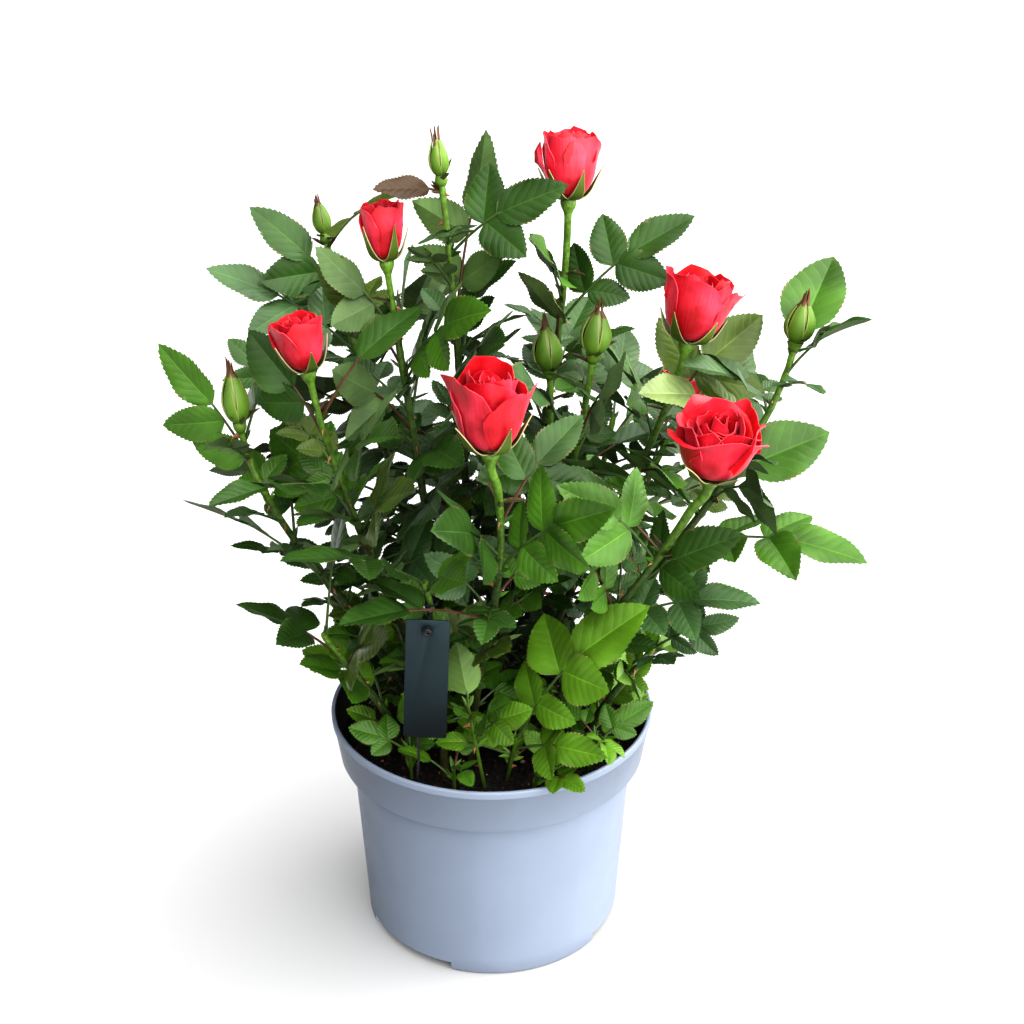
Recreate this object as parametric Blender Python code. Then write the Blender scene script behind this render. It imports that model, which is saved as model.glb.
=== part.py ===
"""A miniature rose bush in its nursery pot, in metres with +Z up.

The origin is the centre of the pot's underside. Nineteen canes rise from the soil. Each cane is bare
at its foot and carries a mass of compound leaves above, and ends in a rose, a bud or a leafy tip.
"""

import math
import random
from collections import namedtuple

import bmesh
import bpy
from mathutils import Matrix, Vector
from mathutils.bvhtree import BVHTree

UP = Vector((0.0, 0.0, 1.0))
GAP = 0.0003

# Pot: a turned shell with a stepped collar, standing on three foot arcs and a hub.
POT_SIDES = 32
POT_HEIGHT = 0.0963
RIM_RADIUS = 0.0650
COLLAR_FOOT_RADIUS = 0.0618
COLLAR_HEIGHT = 0.0206
BODY_TOP_RADIUS = 0.0570
BASE_RADIUS = 0.0524
WALL = 0.0016
LIP = 0.0006
FOOT_HEIGHT = 0.0040
FOOT_WIDTH = 0.0060
HUB_RADIUS = 0.0120
FEET = 3
NOTCH_ANGLE = 50.0
FIRST_NOTCH = -133.0
DRAIN_HOLES = 6
DRAIN_RADIUS = 0.0040
DRAIN_CIRCLE = 0.0330

# Soil: it fills the pot to just above the collar's foot.
SOIL_TOP = 0.0840
SOIL_SIDES = 28

# Canes and twigs.
CANE_SIDES = 5
CANE_STEPS = 4
STEM_SIDES = 4
STEM_STEPS = 5
FOOT_THICKNESS = 0.0025
TIP_THICKNESS = 0.0015
STALK_THICKNESS = 0.0019
HIP_RADIUS = 0.0034
SEPAL_DROP = 0.0018
SEPAL_STEP = 0.0002
SHOOT_FOOT_THICKNESS = 0.0011
SHOOT_TIP_THICKNESS = 0.0009
RISE_SHARE = 0.36
FOOT_SPREAD = 0.14

PETALS = 5
SEPALS = 4
SEPAL_TURN = 0.13

# Leaves. A compound leaf has a terminal leaflet and one or two pairs on a three-sided stalk.
LEAF_SPACING = 0.0205
GOLDEN_ANGLE = 137.5
LEAF_STALK = 0.0009
ROOT_DEPTH = 0.0002
LEAF_THICKNESS = 0.0005
LEAF_WIDTH = 0.66
FACING = 0.9
LEAF_BOW = 0.07
LEAF_CLEARANCE = 0.0005
TERMINAL_SHARE = {1: 0.80, 3: 0.54, 5: 0.44}
PAIR_PLACES = {1: (), 3: (0.10,), 5: (0.09, 0.31)}
PAIR_SIZES = (0.94, 0.80)
PAIR_ANGLE = 62.0
PAIR_STAGGER = 0.02
FIRST_PAIR = 0.06
SHIFTS = (
    (0, 0), (10, 4), (-10, 4), (0, 12), (0, -12), (22, 6), (-22, 6), (36, -6), (-36, -6), (52, 8), (-52, 8),
)

# The crown's outline: how far leaves reach to the left and right at each level. A point's level is
# its height, raised behind the axis and lowered before it, so that the crown slopes down to the back.
CROWN_SLOPE = 0.47
CROWN_FRONT = -0.106
CROWN_BACK = 0.128
CROWN = (
    (0.078, -0.060, 0.063), (0.097, -0.065, 0.065), (0.120, -0.078, 0.068), (0.132, -0.091, 0.088),
    (0.144, -0.105, 0.106), (0.161, -0.100, 0.146), (0.170, -0.101, 0.130), (0.185, -0.112, 0.098),
    (0.199, -0.106, 0.110), (0.212, -0.110, 0.119), (0.226, -0.124, 0.122), (0.239, -0.120, 0.117),
    (0.251, -0.120, 0.136), (0.267, -0.104, 0.137), (0.280, -0.102, 0.091), (0.302, -0.080, 0.068),
    (0.311, -0.037, 0.041), (0.333, -0.017, 0.009),
)
CLEAR_AIR = 0.040

# Hang tag: a bare card on a cord round the short cane in front.
TAG_WIDTH = 0.0160
TAG_HEIGHT = 0.0475
TAG_THICKNESS = 0.0006
TAG_TOP = (-0.0220, -0.0560, 0.1652)
TAG_TILT = -5.0
TAG_TURN = 2.4
TAG_HOLE_RADIUS = 0.0014
TAG_HOLE_DROP = 0.0038
CORD_RADIUS = 0.0005
CORD_SIDES = 4
RING_STEPS = 8
RING_ROOM = 0.0019
TAIL = ((-0.0250, -0.0505, 0.150), (-0.0275, -0.0515, 0.128), (-0.0270, -0.0520, 0.105),
        (-0.0285, -0.0530, 0.0870))
KNOT_RADIUS = 0.0019
HOOK_HEIGHT = 0.1690

Leaf = namedtuple("Leaf", "at heading rise reach leaflets roll", defaults=(0.0,))
Rose = namedtuple("Rose", "width height opening tilt turn")
Bud = namedtuple("Bud", "length width flare")
Cane = namedtuple("Cane", "name foot tip lean bare top flower leaves")
Shoot = namedtuple("Shoot", "name foot tip leaves")
Blade = namedtuple("Blade", "base axis normal length width fold curl")

CANES = (
    Cane("front", (-0.008, -0.022), (0.001, -0.075, 0.241), (-0.20, -0.10), 0.46, 0.86,
         Rose(0.031, 0.028, 0.55, (0.24, -0.20), 0.0),
         (Leaf(0.66, -43, 38, 0.066, 5, 20), Leaf(0.70, -118, 34, 0.056, 3),
          Leaf(0.80, 40, 40, 0.052, 3))),
    Cane("front_right", (0.020, -0.016), (0.076, -0.065, 0.227), (0.35, -0.15), 0.46, 0.76,
         Rose(0.033, 0.026, 0.85, (-0.24, -0.28), -20.0),
         (Leaf(0.72, -165, 66, 0.060, 3), Leaf(0.58, -22, 40, 0.054, 3), Leaf(0.52, -118, 48, 0.058, 5))),
    Cane("right", (0.031, 0.000), (0.113, 0.000, 0.252), (0.15, 0.00), 0.46, 0.99,
         Bud(0.016, 0.010, 0.05),
         (Leaf(0.96, 60, 50, 0.048, 1, -49), Leaf(0.92, -19, 44, 0.042, 3, 60),
          Leaf(0.80, -150, 24, 0.064, 5), Leaf(0.68, -47, 44, 0.056, 3), Leaf(0.50, -23, 9, 0.078, 5, 20))),
    Cane("mid_right", (0.015, 0.012), (0.073, 0.000, 0.252), (0.15, -0.10), 0.46, 0.86,
         Rose(0.027, 0.026, 0.50, (0.10, -0.15), 60.0),
         (Leaf(0.80, 20, 33, 0.060, 3), Leaf(0.76, -160, 58, 0.050, 3), Leaf(0.66, -75, 20, 0.056, 5))),
    Cane("high", (0.004, 0.024), (0.029, 0.020, 0.300), (0.00, 0.00), 0.46, 0.87,
         Rose(0.024, 0.025, 0.30, (0.00, -0.05), 0.0),
         (Leaf(0.78, 2, 40, 0.066, 5, 110), Leaf(0.82, -115, 50, 0.044, 3),
          Leaf(0.74, -90, 38, 0.054, 3))),
    Cane("peak", (-0.008, 0.014), (-0.017, 0.000, 0.314), (-0.10, 0.00), 0.46, 0.99,
         Bud(0.013, 0.006, 0.80),
         (Leaf(0.97, -161, 10, 0.026, 1, -30), Leaf(0.75, 62, 66, 0.074, 5, -40),
          Leaf(0.66, -60, 30, 0.058, 5))),
    Cane("upper_left", (-0.017, 0.004), (-0.037, 0.000, 0.283), (-0.10, 0.00), 0.44, 0.92,
         Rose(0.016, 0.021, 0.10, (0.02, -0.05), 10.0),
         (Leaf(0.84, -162, 52, 0.052, 3), Leaf(0.78, -30, 32, 0.066, 5), Leaf(0.82, 50, 60, 0.044, 3),
          Leaf(0.66, -140, 54, 0.054, 3, 30), Leaf(0.48, -84, 26, 0.058, 3),
          Leaf(0.60, -70, 22, 0.056, 3))),
    Cane("left", (-0.024, -0.012), (-0.064, -0.030, 0.252), (-0.15, 0.00), 0.46, 0.90,
         Rose(0.019, 0.020, 0.20, (-0.05, -0.15), 150.0),
         (Leaf(0.82, 156, 50, 0.054, 3), Leaf(0.60, -60, 40, 0.056, 3), Leaf(0.72, -140, 10, 0.060, 5))),
    Cane("far_left", (-0.031, -0.002), (-0.091, -0.020, 0.228), (-0.10, 0.00), 0.46, 0.99,
         Bud(0.020, 0.0085, 0.05),
         (Leaf(0.80, 168, 55, 0.068, 5, 30), Leaf(0.84, -117, 38, 0.050, 5),
          Leaf(0.50, 178, 34, 0.066, 5, 50), Leaf(0.94, 35, 42, 0.044, 3))),
    Cane("low_left", (-0.034, -0.022), (-0.062, -0.040, 0.150), (-0.50, -0.20), 0.30, 1.00, None,
         (Leaf(0.80, 169, 26, 0.050, 3), Leaf(0.50, -138, 40, 0.044, 3, -50),
          Leaf(0.75, -60, 40, 0.046, 3))),
    Cane("front_left", (-0.018, -0.034), (-0.023, -0.051, 0.178), (-0.20, -0.10), 0.46, 1.00, None,
         (Leaf(0.99, -150, 24, 0.062, 5, 40), Leaf(0.96, -70, 30, 0.050, 3))),
    Cane("centre", (0.000, -0.004), (0.022, 0.000, 0.241), (-0.10, 0.00), 0.46, 0.99,
         Bud(0.017, 0.010, 0.10),
         (Leaf(0.90, -105, 16, 0.062, 3), Leaf(0.70, -50, 24, 0.058, 5))),
    Cane("centre_right", (0.010, 0.000), (0.038, -0.010, 0.251), (0.10, 0.00), 0.46, 0.99,
         Bud(0.017, 0.010, 0.15),
         (Leaf(0.78, -44, 46, 0.052, 3), Leaf(0.68, -95, 28, 0.056, 3))),
    Cane("low_right", (0.036, -0.020), (0.062, -0.035, 0.142), (0.60, -0.20), 0.30, 1.00, None,
         (Leaf(0.97, -20, 30, 0.040, 5, 60), Leaf(0.70, -100, 30, 0.036, 3))),
    Cane("back_left", (-0.020, 0.020), (-0.064, 0.045, 0.280), (-0.20, 0.15), 0.46, 0.99,
         Bud(0.012, 0.006, 0.30),
         (Leaf(0.76, -174, 34, 0.068, 5, -90), Leaf(0.84, 178, 52, 0.056, 3, -150),
          Leaf(0.66, 100, 30, 0.066, 5))),
    Cane("back", (-0.002, 0.034), (0.000, 0.085, 0.180), (0.00, 0.30), 0.40, 0.88,
         Rose(0.028, 0.026, 0.60, (0.00, 0.35), 200.0),
         (Leaf(0.72, 20, 36, 0.062, 5), Leaf(0.60, 150, 30, 0.064, 5))),
    Cane("back_right", (0.022, 0.026), (0.078, 0.064, 0.200), (0.30, 0.20), 0.44, 0.88,
         Rose(0.024, 0.024, 0.35, (0.10, 0.15), 90.0),
         (Leaf(0.74, 60, 40, 0.062, 5), Leaf(0.58, 0, 24, 0.066, 5))),
    Cane("low_back_left", (-0.032, 0.018), (-0.085, 0.055, 0.205), (-0.30, 0.20), 0.40, 1.00, None,
         (Leaf(0.99, 140, 34, 0.042, 3), Leaf(0.90, 95, 30, 0.060, 5), Leaf(0.70, 195, 20, 0.050, 5))),
    Cane("low_back_right", (0.026, 0.040), (0.052, 0.088, 0.185), (0.20, 0.50), 0.34, 1.00, None,
         (Leaf(0.99, 80, 30, 0.056, 3), Leaf(0.88, 20, 34, 0.062, 5), Leaf(0.64, 110, 16, 0.062, 5))),
)

SHOOTS = (
    Shoot("front_shoot", (0.006, -0.036), (0.010, -0.046, 0.108),
          (Leaf(0.98, -31, 54, 0.085, 5, 10), Leaf(0.70, 40, 34, 0.040, 3))),
    Shoot("right_shoot", (0.036, -0.036), (0.042, -0.040, 0.106),
          (Leaf(0.98, -85, 10, 0.029, 3), Leaf(0.70, 10, 38, 0.030, 3))),
    Shoot("left_shoot", (-0.031, -0.036), (-0.031, -0.040, 0.098),
          (Leaf(0.98, 178, 25, 0.028, 3), Leaf(0.75, 120, 45, 0.028, 3))),
    Shoot("middle_shoot", (-0.002, -0.042), (-0.008, -0.052, 0.126),
          (Leaf(0.99, 120, 70, 0.026, 1, 180), Leaf(0.60, -30, 40, 0.034, 3))),
    Shoot("edge_shoot", (0.016, -0.046), (0.018, -0.048, 0.094),
          (Leaf(0.99, -55, 16, 0.032, 5), Leaf(0.80, 30, 40, 0.030, 3))),
    Shoot("rim_shoot", (-0.014, -0.045), (-0.014, -0.047, 0.096),
          (Leaf(0.99, -70, 14, 0.024, 3), Leaf(0.80, -160, 26, 0.026, 3))),
    Shoot("back_shoot", (0.004, 0.046), (0.004, 0.050, 0.104),
          (Leaf(0.99, 60, 24, 0.042, 5), Leaf(0.80, 140, 30, 0.040, 5))),
)


def clear_scene():
    """Removes what the startup scene holds."""
    for old in list(bpy.data.objects):
        bpy.data.objects.remove(old)


def material(name, colour, roughness):
    """A plain Principled material."""
    made = bpy.data.materials.new(name)
    made.use_nodes = True
    shader = made.node_tree.nodes["Principled BSDF"]
    shader.inputs["Base Color"].default_value = (*colour, 1.0)
    shader.inputs["Roughness"].default_value = roughness
    return made


def solid(name, points, faces, finish):
    """One object from points and faces, smooth where its faces bend gently."""
    mesh = bpy.data.meshes.new(name)
    mesh.from_pydata([tuple(p) for p in points], [], faces)
    mesh.materials.append(finish)
    mesh.shade_smooth()
    mesh.set_sharp_from_angle(angle=math.radians(40.0))
    made = bpy.data.objects.new(name, mesh)
    bpy.context.collection.objects.link(made)
    return made


# Shapes -------------------------------------------------------------------------------------------


def turned(profile, sides):
    """Points and faces of a closed profile of (radius, height), from axis to axis, turned about Z."""
    points = []
    rings = []
    for radius, height in profile:
        if radius == 0.0:
            rings.append([len(points)] * sides)
            points.append(Vector((0.0, 0.0, height)))
            continue
        rings.append(list(range(len(points), len(points) + sides)))
        for k in range(sides):
            angle = math.tau * k / sides
            points.append(Vector((radius * math.cos(angle), radius * math.sin(angle), height)))
    faces = []
    for low, high in zip(rings, rings[1:]):
        for k in range(sides):
            n = (k + 1) % sides
            corners = list(dict.fromkeys((low[k], low[n], high[n], high[k])))
            faces.append(tuple(corners))
    return points, faces


def tube(path, radii, sides):
    """Points and faces of a capped tube along a path, with no twist."""
    points = []
    tangent = (path[1] - path[0]).normalized()
    across = tangent.orthogonal().normalized()
    for k, centre in enumerate(path):
        ahead = path[min(k + 1, len(path) - 1)] - path[max(k - 1, 0)]
        turn = tangent.rotation_difference(ahead.normalized())
        across = (turn @ across).normalized()
        tangent = ahead.normalized()
        other = tangent.cross(across)
        for side in range(sides):
            angle = math.tau * side / sides
            points.append(centre + radii[k] * (math.cos(angle) * across + math.sin(angle) * other))
    faces = []
    for ring in range(len(path) - 1):
        for side in range(sides):
            a = ring * sides + side
            b = ring * sides + (side + 1) % sides
            faces.append((a, b, b + sides, a + sides))
    last = (len(path) - 1) * sides
    faces.append(tuple(reversed(range(sides))))
    faces.append(tuple(last + side for side in range(sides)))
    return points, faces


def blade_point(blade, along, across):
    """A point of a leaf blade: 0 to 1 along it, -1 to 1 across it. It folds up and curls down."""
    side = blade.normal.cross(blade.axis)
    half = 0.5 * blade.width
    lift = blade.fold * abs(across) * half - blade.curl * blade.length * along * along
    return (blade.base + blade.axis * (along * blade.length) + side * (across * half)
            + blade.normal * lift)


def blade_solid(blade, thickness):
    """A thin leaf of eight faces: four points round its edge, and one on each side of its middle."""
    rim = [(0.0, 0.0), (0.44, -1.0), (1.0, 0.0), (0.44, 1.0)]
    points = [blade_point(blade, along, across) for along, across in rim]
    middle = blade_point(blade, 0.45, 0.0)
    points.append(middle + blade.normal * (0.5 * thickness))
    points.append(middle - blade.normal * (0.5 * thickness))
    faces = []
    for k in range(4):
        n = (k + 1) % 4
        faces.append((k, n, 4))
        faces.append((n, k, 5))
    return points, faces


def blade_hull(blade, clearance):
    """The room a finished leaflet needs: its full oval outline, with clearance on both sides."""
    rim = [(-0.02, 0.0), (0.16, -0.72), (0.46, -1.06), (0.78, -0.70), (1.04, 0.0),
           (0.78, 0.70), (0.46, 1.06), (0.16, 0.72)]
    count = len(rim)
    points = []
    for level in (clearance, -clearance):
        points.extend(blade_point(blade, along, across) + blade.normal * level for along, across in rim)
    for level in (clearance, -clearance):
        points.append(blade_point(blade, 0.46, 0.0) + blade.normal * level)
    faces = []
    for k in range(count):
        n = (k + 1) % count
        faces.append((k, n, 2 * count))
        faces.append((count + n, count + k, 2 * count + 1))
        faces.append((n, k, count + k, count + n))
    return points, faces


# Curves and leaves ---------------------------------------------------------------------------------


def cane_point(foot, tip, lean, share):
    """A point on a cane's curve: upright at its foot, and leaning as it ends."""
    height = tip.z - foot.z
    reach = Vector((tip.x - foot.x, tip.y - foot.y, 0.0))
    rising = foot + UP * (RISE_SHARE * height) + reach * FOOT_SPREAD
    ending = tip - Vector((*lean, 1.0)).normalized() * (RISE_SHARE * height)
    rest = 1.0 - share
    return (foot * rest ** 3 + rising * (3.0 * rest * rest * share)
            + ending * (3.0 * rest * share * share) + tip * share ** 3)


def cane_path(foot, tip, lean, start, end, steps):
    """Points along part of a cane's curve."""
    return [cane_point(foot, tip, lean, start + (end - start) * k / steps) for k in range(steps + 1)]


def tapered(steps, first, last):
    """Radii that run evenly from the first to the last."""
    return [first + (last - first) * k / steps for k in range(steps + 1)]


def direction(heading, rise):
    """The unit vector of a compass heading from +X and a rise above level, in degrees."""
    flat = math.cos(math.radians(rise))
    return Vector((flat * math.cos(math.radians(heading)), flat * math.sin(math.radians(heading)),
                   math.sin(math.radians(rise))))


def leaf_plan(root, leaf, seed):
    """The stalk's path and the blades of one compound leaf that starts at root."""
    chance = random.Random(seed)
    chord = direction(leaf.heading, leaf.rise)
    outward = direction(leaf.heading, 0.0)
    bow = (UP - chord * UP.dot(chord)) if abs(chord.z) < 0.94 else (-outward)
    bow = (bow - chord * bow.dot(chord)).normalized()
    away = Vector((root.x, root.y, 0.0)) + outward * (0.5 * leaf.reach)
    facing = UP + away.normalized() * FACING
    facing = (facing - chord * facing.dot(chord)).normalized()
    face = Matrix.Rotation(math.radians(leaf.roll), 3, chord) @ facing

    def on_stalk(share):
        rise = LEAF_BOW * leaf.reach * 4.0 * share * (1.0 - share)
        return root + chord * (leaf.reach * share) + bow * rise

    terminal = TERMINAL_SHARE[leaf.leaflets]
    end = 1.0 - terminal
    path = [on_stalk(end * k / 2) for k in range(3)]
    length = terminal * leaf.reach
    blades = []

    def add(share, turn, size):
        ahead = (on_stalk(share + 0.05) - on_stalk(share - 0.05)).normalized()
        if turn == 0.0:
            ahead = (root + chord * leaf.reach - on_stalk(share)).normalized()
        flat = (face - ahead * face.dot(ahead)).normalized()
        axis = Matrix.Rotation(math.radians(turn), 3, flat) @ ahead
        tilt = Matrix.Rotation(math.radians(chance.uniform(-16.0, 16.0)), 3, axis)
        droop = chance.uniform(-0.10, 0.12) if turn else 0.0
        axis = (axis - flat * droop).normalized()
        normal = tilt @ (flat - axis * flat.dot(axis)).normalized()
        width = size * LEAF_WIDTH * chance.uniform(0.92, 1.08)
        fold = chance.uniform(0.12, 0.42)
        curl = chance.uniform(0.02, 0.14)
        blades.append(Blade(on_stalk(share) - axis * ROOT_DEPTH, axis, normal, size, width, fold, curl))

    add(end, 0.0, length)
    for place, scale in zip(PAIR_PLACES[leaf.leaflets], PAIR_SIZES):
        for side, stagger in ((1.0, PAIR_STAGGER), (-1.0, 0.0)):
            angle = side * (PAIR_ANGLE + chance.uniform(-8.0, 8.0))
            size = length * scale * chance.uniform(0.92, 1.05)
            add(max(end - place - stagger, FIRST_PAIR), angle, size)
    return path, blades


class Space:
    """What has been placed so far, so that new leaves keep clear of it."""

    def __init__(self):
        self.taken = []

    def add(self, owner, points, faces):
        """Records one shape, under the name of the node that owns it."""
        low = Vector([min(p[axis] for p in points) for axis in range(3)])
        high = Vector([max(p[axis] for p in points) for axis in range(3)])
        self.taken.append((owner, low, high, BVHTree.FromPolygons([tuple(p) for p in points], faces)))

    def clashes(self, points, faces, spared):
        """Whether a shape meets anything that isn't spared."""
        low = Vector([min(p[axis] for p in points) for axis in range(3)])
        high = Vector([max(p[axis] for p in points) for axis in range(3)])
        tree = None
        for owner, other_low, other_high, other in self.taken:
            if owner in spared:
                continue
            if any(low[k] > other_high[k] or high[k] < other_low[k] for k in range(3)):
                continue
            if tree is None:
                tree = BVHTree.FromPolygons([tuple(p) for p in points], faces)
            if tree.overlap(other):
                return True
        return False


def in_crown(point):
    """Whether a point lies inside the crown's outline."""
    if not CROWN_FRONT < point.y < CROWN_BACK:
        return False
    level = point.z + CROWN_SLOPE * point.y
    for (low, low_left, low_right), (high, high_left, high_right) in zip(CROWN, CROWN[1:]):
        if low <= level <= high:
            share = (level - low) / (high - low)
            left = low_left + (high_left - low_left) * share
            return left <= point.x <= low_right + (high_right - low_right) * share
    return False


def try_leaf(space, owner, root, leaf, seed, bounded):
    """Places a leaf in the first free variant, or the one that loses fewest leaflets, or nowhere.

    A bounded leaf keeps only the leaflets that end inside the crown's outline. The terminal leaflet
    is always kept.
    """
    enough = leaf.leaflets if bounded else (leaf.leaflets + 1) // 2
    best = None
    for turn, lift in SHIFTS:
        tried = leaf._replace(heading=leaf.heading + turn, rise=min(leaf.rise + lift, 78.0))
        path, blades = leaf_plan(root, tried, seed)
        room = tube(path, [LEAF_STALK + LEAF_CLEARANCE] * len(path), 4)
        if space.clashes(*room, (owner + " stem", owner + " bud")):
            continue
        kept = [b for b in blades if (not bounded or in_crown(b.base + b.axis * b.length))
                and not space.clashes(*blade_hull(b, LEAF_CLEARANCE), ())]
        if not kept or kept[0] is not blades[0]:
            continue
        if best is None or len(kept) > len(best[1]):
            best = (path, kept)
        if len(kept) >= enough:
            break
    if best is None or len(best[1]) * 3 < leaf.leaflets:
        return None
    path, kept = best
    space.add(owner, *tube(path, [LEAF_STALK] * len(path), 4))
    for blade in kept:
        space.add(owner, *blade_hull(blade, LEAF_CLEARANCE))
    return best


def rule_leaves(name, length, first, last):
    """Leaves that the growth rule puts along a stem, by the golden angle."""
    chance = random.Random(name)
    count = max(2, round(length * (last - first) / LEAF_SPACING))
    heading = chance.uniform(0.0, 360.0)
    leaves = []
    for k in range(count):
        share = k / (count - 1)
        at = first + (last - first) * (0.06 + 0.90 * share)
        rise = 12.0 + 34.0 * share + chance.uniform(-8.0, 8.0)
        leaflets = 5 if share < 0.75 else 3
        reach = (0.066 if leaflets == 5 else 0.056) * chance.uniform(0.88, 1.08)
        leaves.append(Leaf(at, heading, rise, reach, leaflets, chance.uniform(-15.0, 15.0)))
        heading += GOLDEN_ANGLE + chance.uniform(-12.0, 12.0)
    return leaves


# Joining ------------------------------------------------------------------------------------------


def joined(name, shapes, finish, others=()):
    """One closed solid from overlapping shapes: a Boolean union on a collection, applied.

    The others are shapes that keep a finish of their own, as (points, faces, finish).
    """
    scraps = bpy.data.collections.new(name + " shapes")
    bpy.context.scene.collection.children.link(scraps)
    base = solid(name, *shapes[0], finish)
    for points, faces, own in [(*shape, finish) for shape in shapes[1:]] + list(others):
        mesh = bpy.data.meshes.new("shape")
        mesh.from_pydata([tuple(p) for p in points], [], faces)
        mesh.materials.append(own)
        scraps.objects.link(bpy.data.objects.new("shape", mesh))
    union = base.modifiers.new("Union", "BOOLEAN")
    union.operation = "UNION"
    union.operand_type = "COLLECTION"
    union.collection = scraps
    union.solver = "MANIFOLD"
    union.material_mode = "TRANSFER"
    graph = bpy.context.evaluated_depsgraph_get()
    mesh = bpy.data.meshes.new_from_object(base.evaluated_get(graph))
    base.modifiers.clear()
    old = base.data
    base.data = mesh
    bpy.data.meshes.remove(old)
    for scrap in list(scraps.objects):
        bpy.data.objects.remove(scrap)
    bpy.data.collections.remove(scraps)
    mesh.name = name
    keep_largest_body(mesh)
    return base


def keep_largest_body(mesh):
    """Drops loose scraps, leaving the one body with the most faces."""
    work = bmesh.new()
    work.from_mesh(mesh)
    bodies = []
    unseen = set(work.faces)
    while unseen:
        grown = {unseen.pop()}
        edge = list(grown)
        while edge:
            face = edge.pop()
            for near in (f for e in face.edges for f in e.link_faces):
                if near in unseen:
                    unseen.discard(near)
                    grown.add(near)
                    edge.append(near)
        bodies.append(grown)
    bodies.sort(key=len)
    for body in bodies[:-1]:
        bmesh.ops.delete(work, geom=list(body), context="FACES")
    work.to_mesh(mesh)
    work.free()


# Pieces -------------------------------------------------------------------------------------------


def make_pot(finish):
    """The turned pot, with notches between its feet and drain holes in its floor."""
    collar_foot = POT_HEIGHT - COLLAR_HEIGHT
    floor = FOOT_HEIGHT + WALL
    foot_inner = BASE_RADIUS - FOOT_WIDTH
    slope = (BODY_TOP_RADIUS - BASE_RADIUS) / collar_foot
    profile = (
        (0.0, floor),
        (BASE_RADIUS - WALL, floor),
        (BODY_TOP_RADIUS - WALL, collar_foot + WALL),
        (COLLAR_FOOT_RADIUS - WALL, collar_foot + WALL),
        (RIM_RADIUS - WALL, POT_HEIGHT - LIP),
        (RIM_RADIUS - 0.5 * WALL, POT_HEIGHT),
        (RIM_RADIUS, POT_HEIGHT - LIP),
        (COLLAR_FOOT_RADIUS, collar_foot + LIP),
        (COLLAR_FOOT_RADIUS - LIP, collar_foot),
        (BODY_TOP_RADIUS, collar_foot),
        (BASE_RADIUS + slope * 2.0 * FOOT_HEIGHT, 2.0 * FOOT_HEIGHT),
        (BASE_RADIUS, 0.0),
        (foot_inner, 0.0),
        (foot_inner, FOOT_HEIGHT),
        (HUB_RADIUS, FOOT_HEIGHT),
        (HUB_RADIUS, 0.0),
        (0.0, 0.0),
    )
    pot = solid("pot", *turned(profile, POT_SIDES), finish)
    work = bmesh.new()
    work.from_mesh(pot.data)
    bmesh.ops.recalc_face_normals(work, faces=work.faces)
    work.to_mesh(pot.data)
    work.free()
    for k in range(FEET):
        cut(pot, notch_cutter(k))
    for k in range(DRAIN_HOLES):
        cut(pot, drain_cutter(k))
    return pot


def cut(target, cutter):
    """Adds an exact Boolean difference."""
    change = target.modifiers.new(cutter.name, "BOOLEAN")
    change.operation = "DIFFERENCE"
    change.object = cutter


def cutter_object(name, points, faces):
    """A helper that only cuts."""
    mesh = bpy.data.meshes.new(name)
    mesh.from_pydata([tuple(p) for p in points], [], faces)
    made = bpy.data.objects.new(name, mesh)
    bpy.context.collection.objects.link(made)
    made.hide_render = True
    made.display_type = "WIRE"
    return made


def prism(outline, low, high):
    """Points and faces of an upright prism on an outline that runs counter-clockwise."""
    count = len(outline)
    points = [Vector((x, y, low)) for x, y in outline] + [Vector((x, y, high)) for x, y in outline]
    faces = [tuple(reversed(range(count))), tuple(range(count, 2 * count))]
    for k in range(count):
        n = (k + 1) % count
        faces.append((k, n, count + n, count + k))
    return points, faces


def notch_cutter(index):
    """A wedge that opens the foot ring between two feet."""
    inner = HUB_RADIUS + 0.002
    outer = BASE_RADIUS + 0.010
    start = FIRST_NOTCH + index * 360.0 / FEET - 0.5 * NOTCH_ANGLE
    steps = 6
    angles = [math.radians(start + NOTCH_ANGLE * k / steps) for k in range(steps + 1)]
    outline = [(outer * math.cos(a), outer * math.sin(a)) for a in angles]
    outline += [(inner * math.cos(a), inner * math.sin(a)) for a in reversed(angles)]
    return cutter_object(f"notch_{index + 1}", *prism(outline, -0.001, FOOT_HEIGHT))


def drain_cutter(index):
    """A round hole through the floor."""
    angle = math.tau * (index + 0.5) / DRAIN_HOLES
    middle = (DRAIN_CIRCLE * math.cos(angle), DRAIN_CIRCLE * math.sin(angle))
    sides = 6
    outline = [(middle[0] + DRAIN_RADIUS * math.cos(math.tau * k / sides),
                middle[1] + DRAIN_RADIUS * math.sin(math.tau * k / sides)) for k in range(sides)]
    return cutter_object(f"drain_{index + 1}", *prism(outline, 0.001, FOOT_HEIGHT + 2.0 * WALL))


def make_soil(finish):
    """The peat that fills the pot, a gap away from its walls."""
    collar_foot = POT_HEIGHT - COLLAR_HEIGHT
    floor = FOOT_HEIGHT + WALL + GAP
    slope = (RIM_RADIUS - COLLAR_FOOT_RADIUS) / COLLAR_HEIGHT
    inset = WALL + 2.0 * GAP
    profile = (
        (0.0, floor),
        (BASE_RADIUS - inset, floor),
        (BODY_TOP_RADIUS - inset, collar_foot + WALL + GAP),
        (COLLAR_FOOT_RADIUS - inset, collar_foot + WALL + GAP),
        (COLLAR_FOOT_RADIUS - inset + slope * (SOIL_TOP - collar_foot - WALL), SOIL_TOP),
        (0.0, SOIL_TOP),
    )
    return solid("soil", *turned(profile, SOIL_SIDES), finish)


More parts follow.
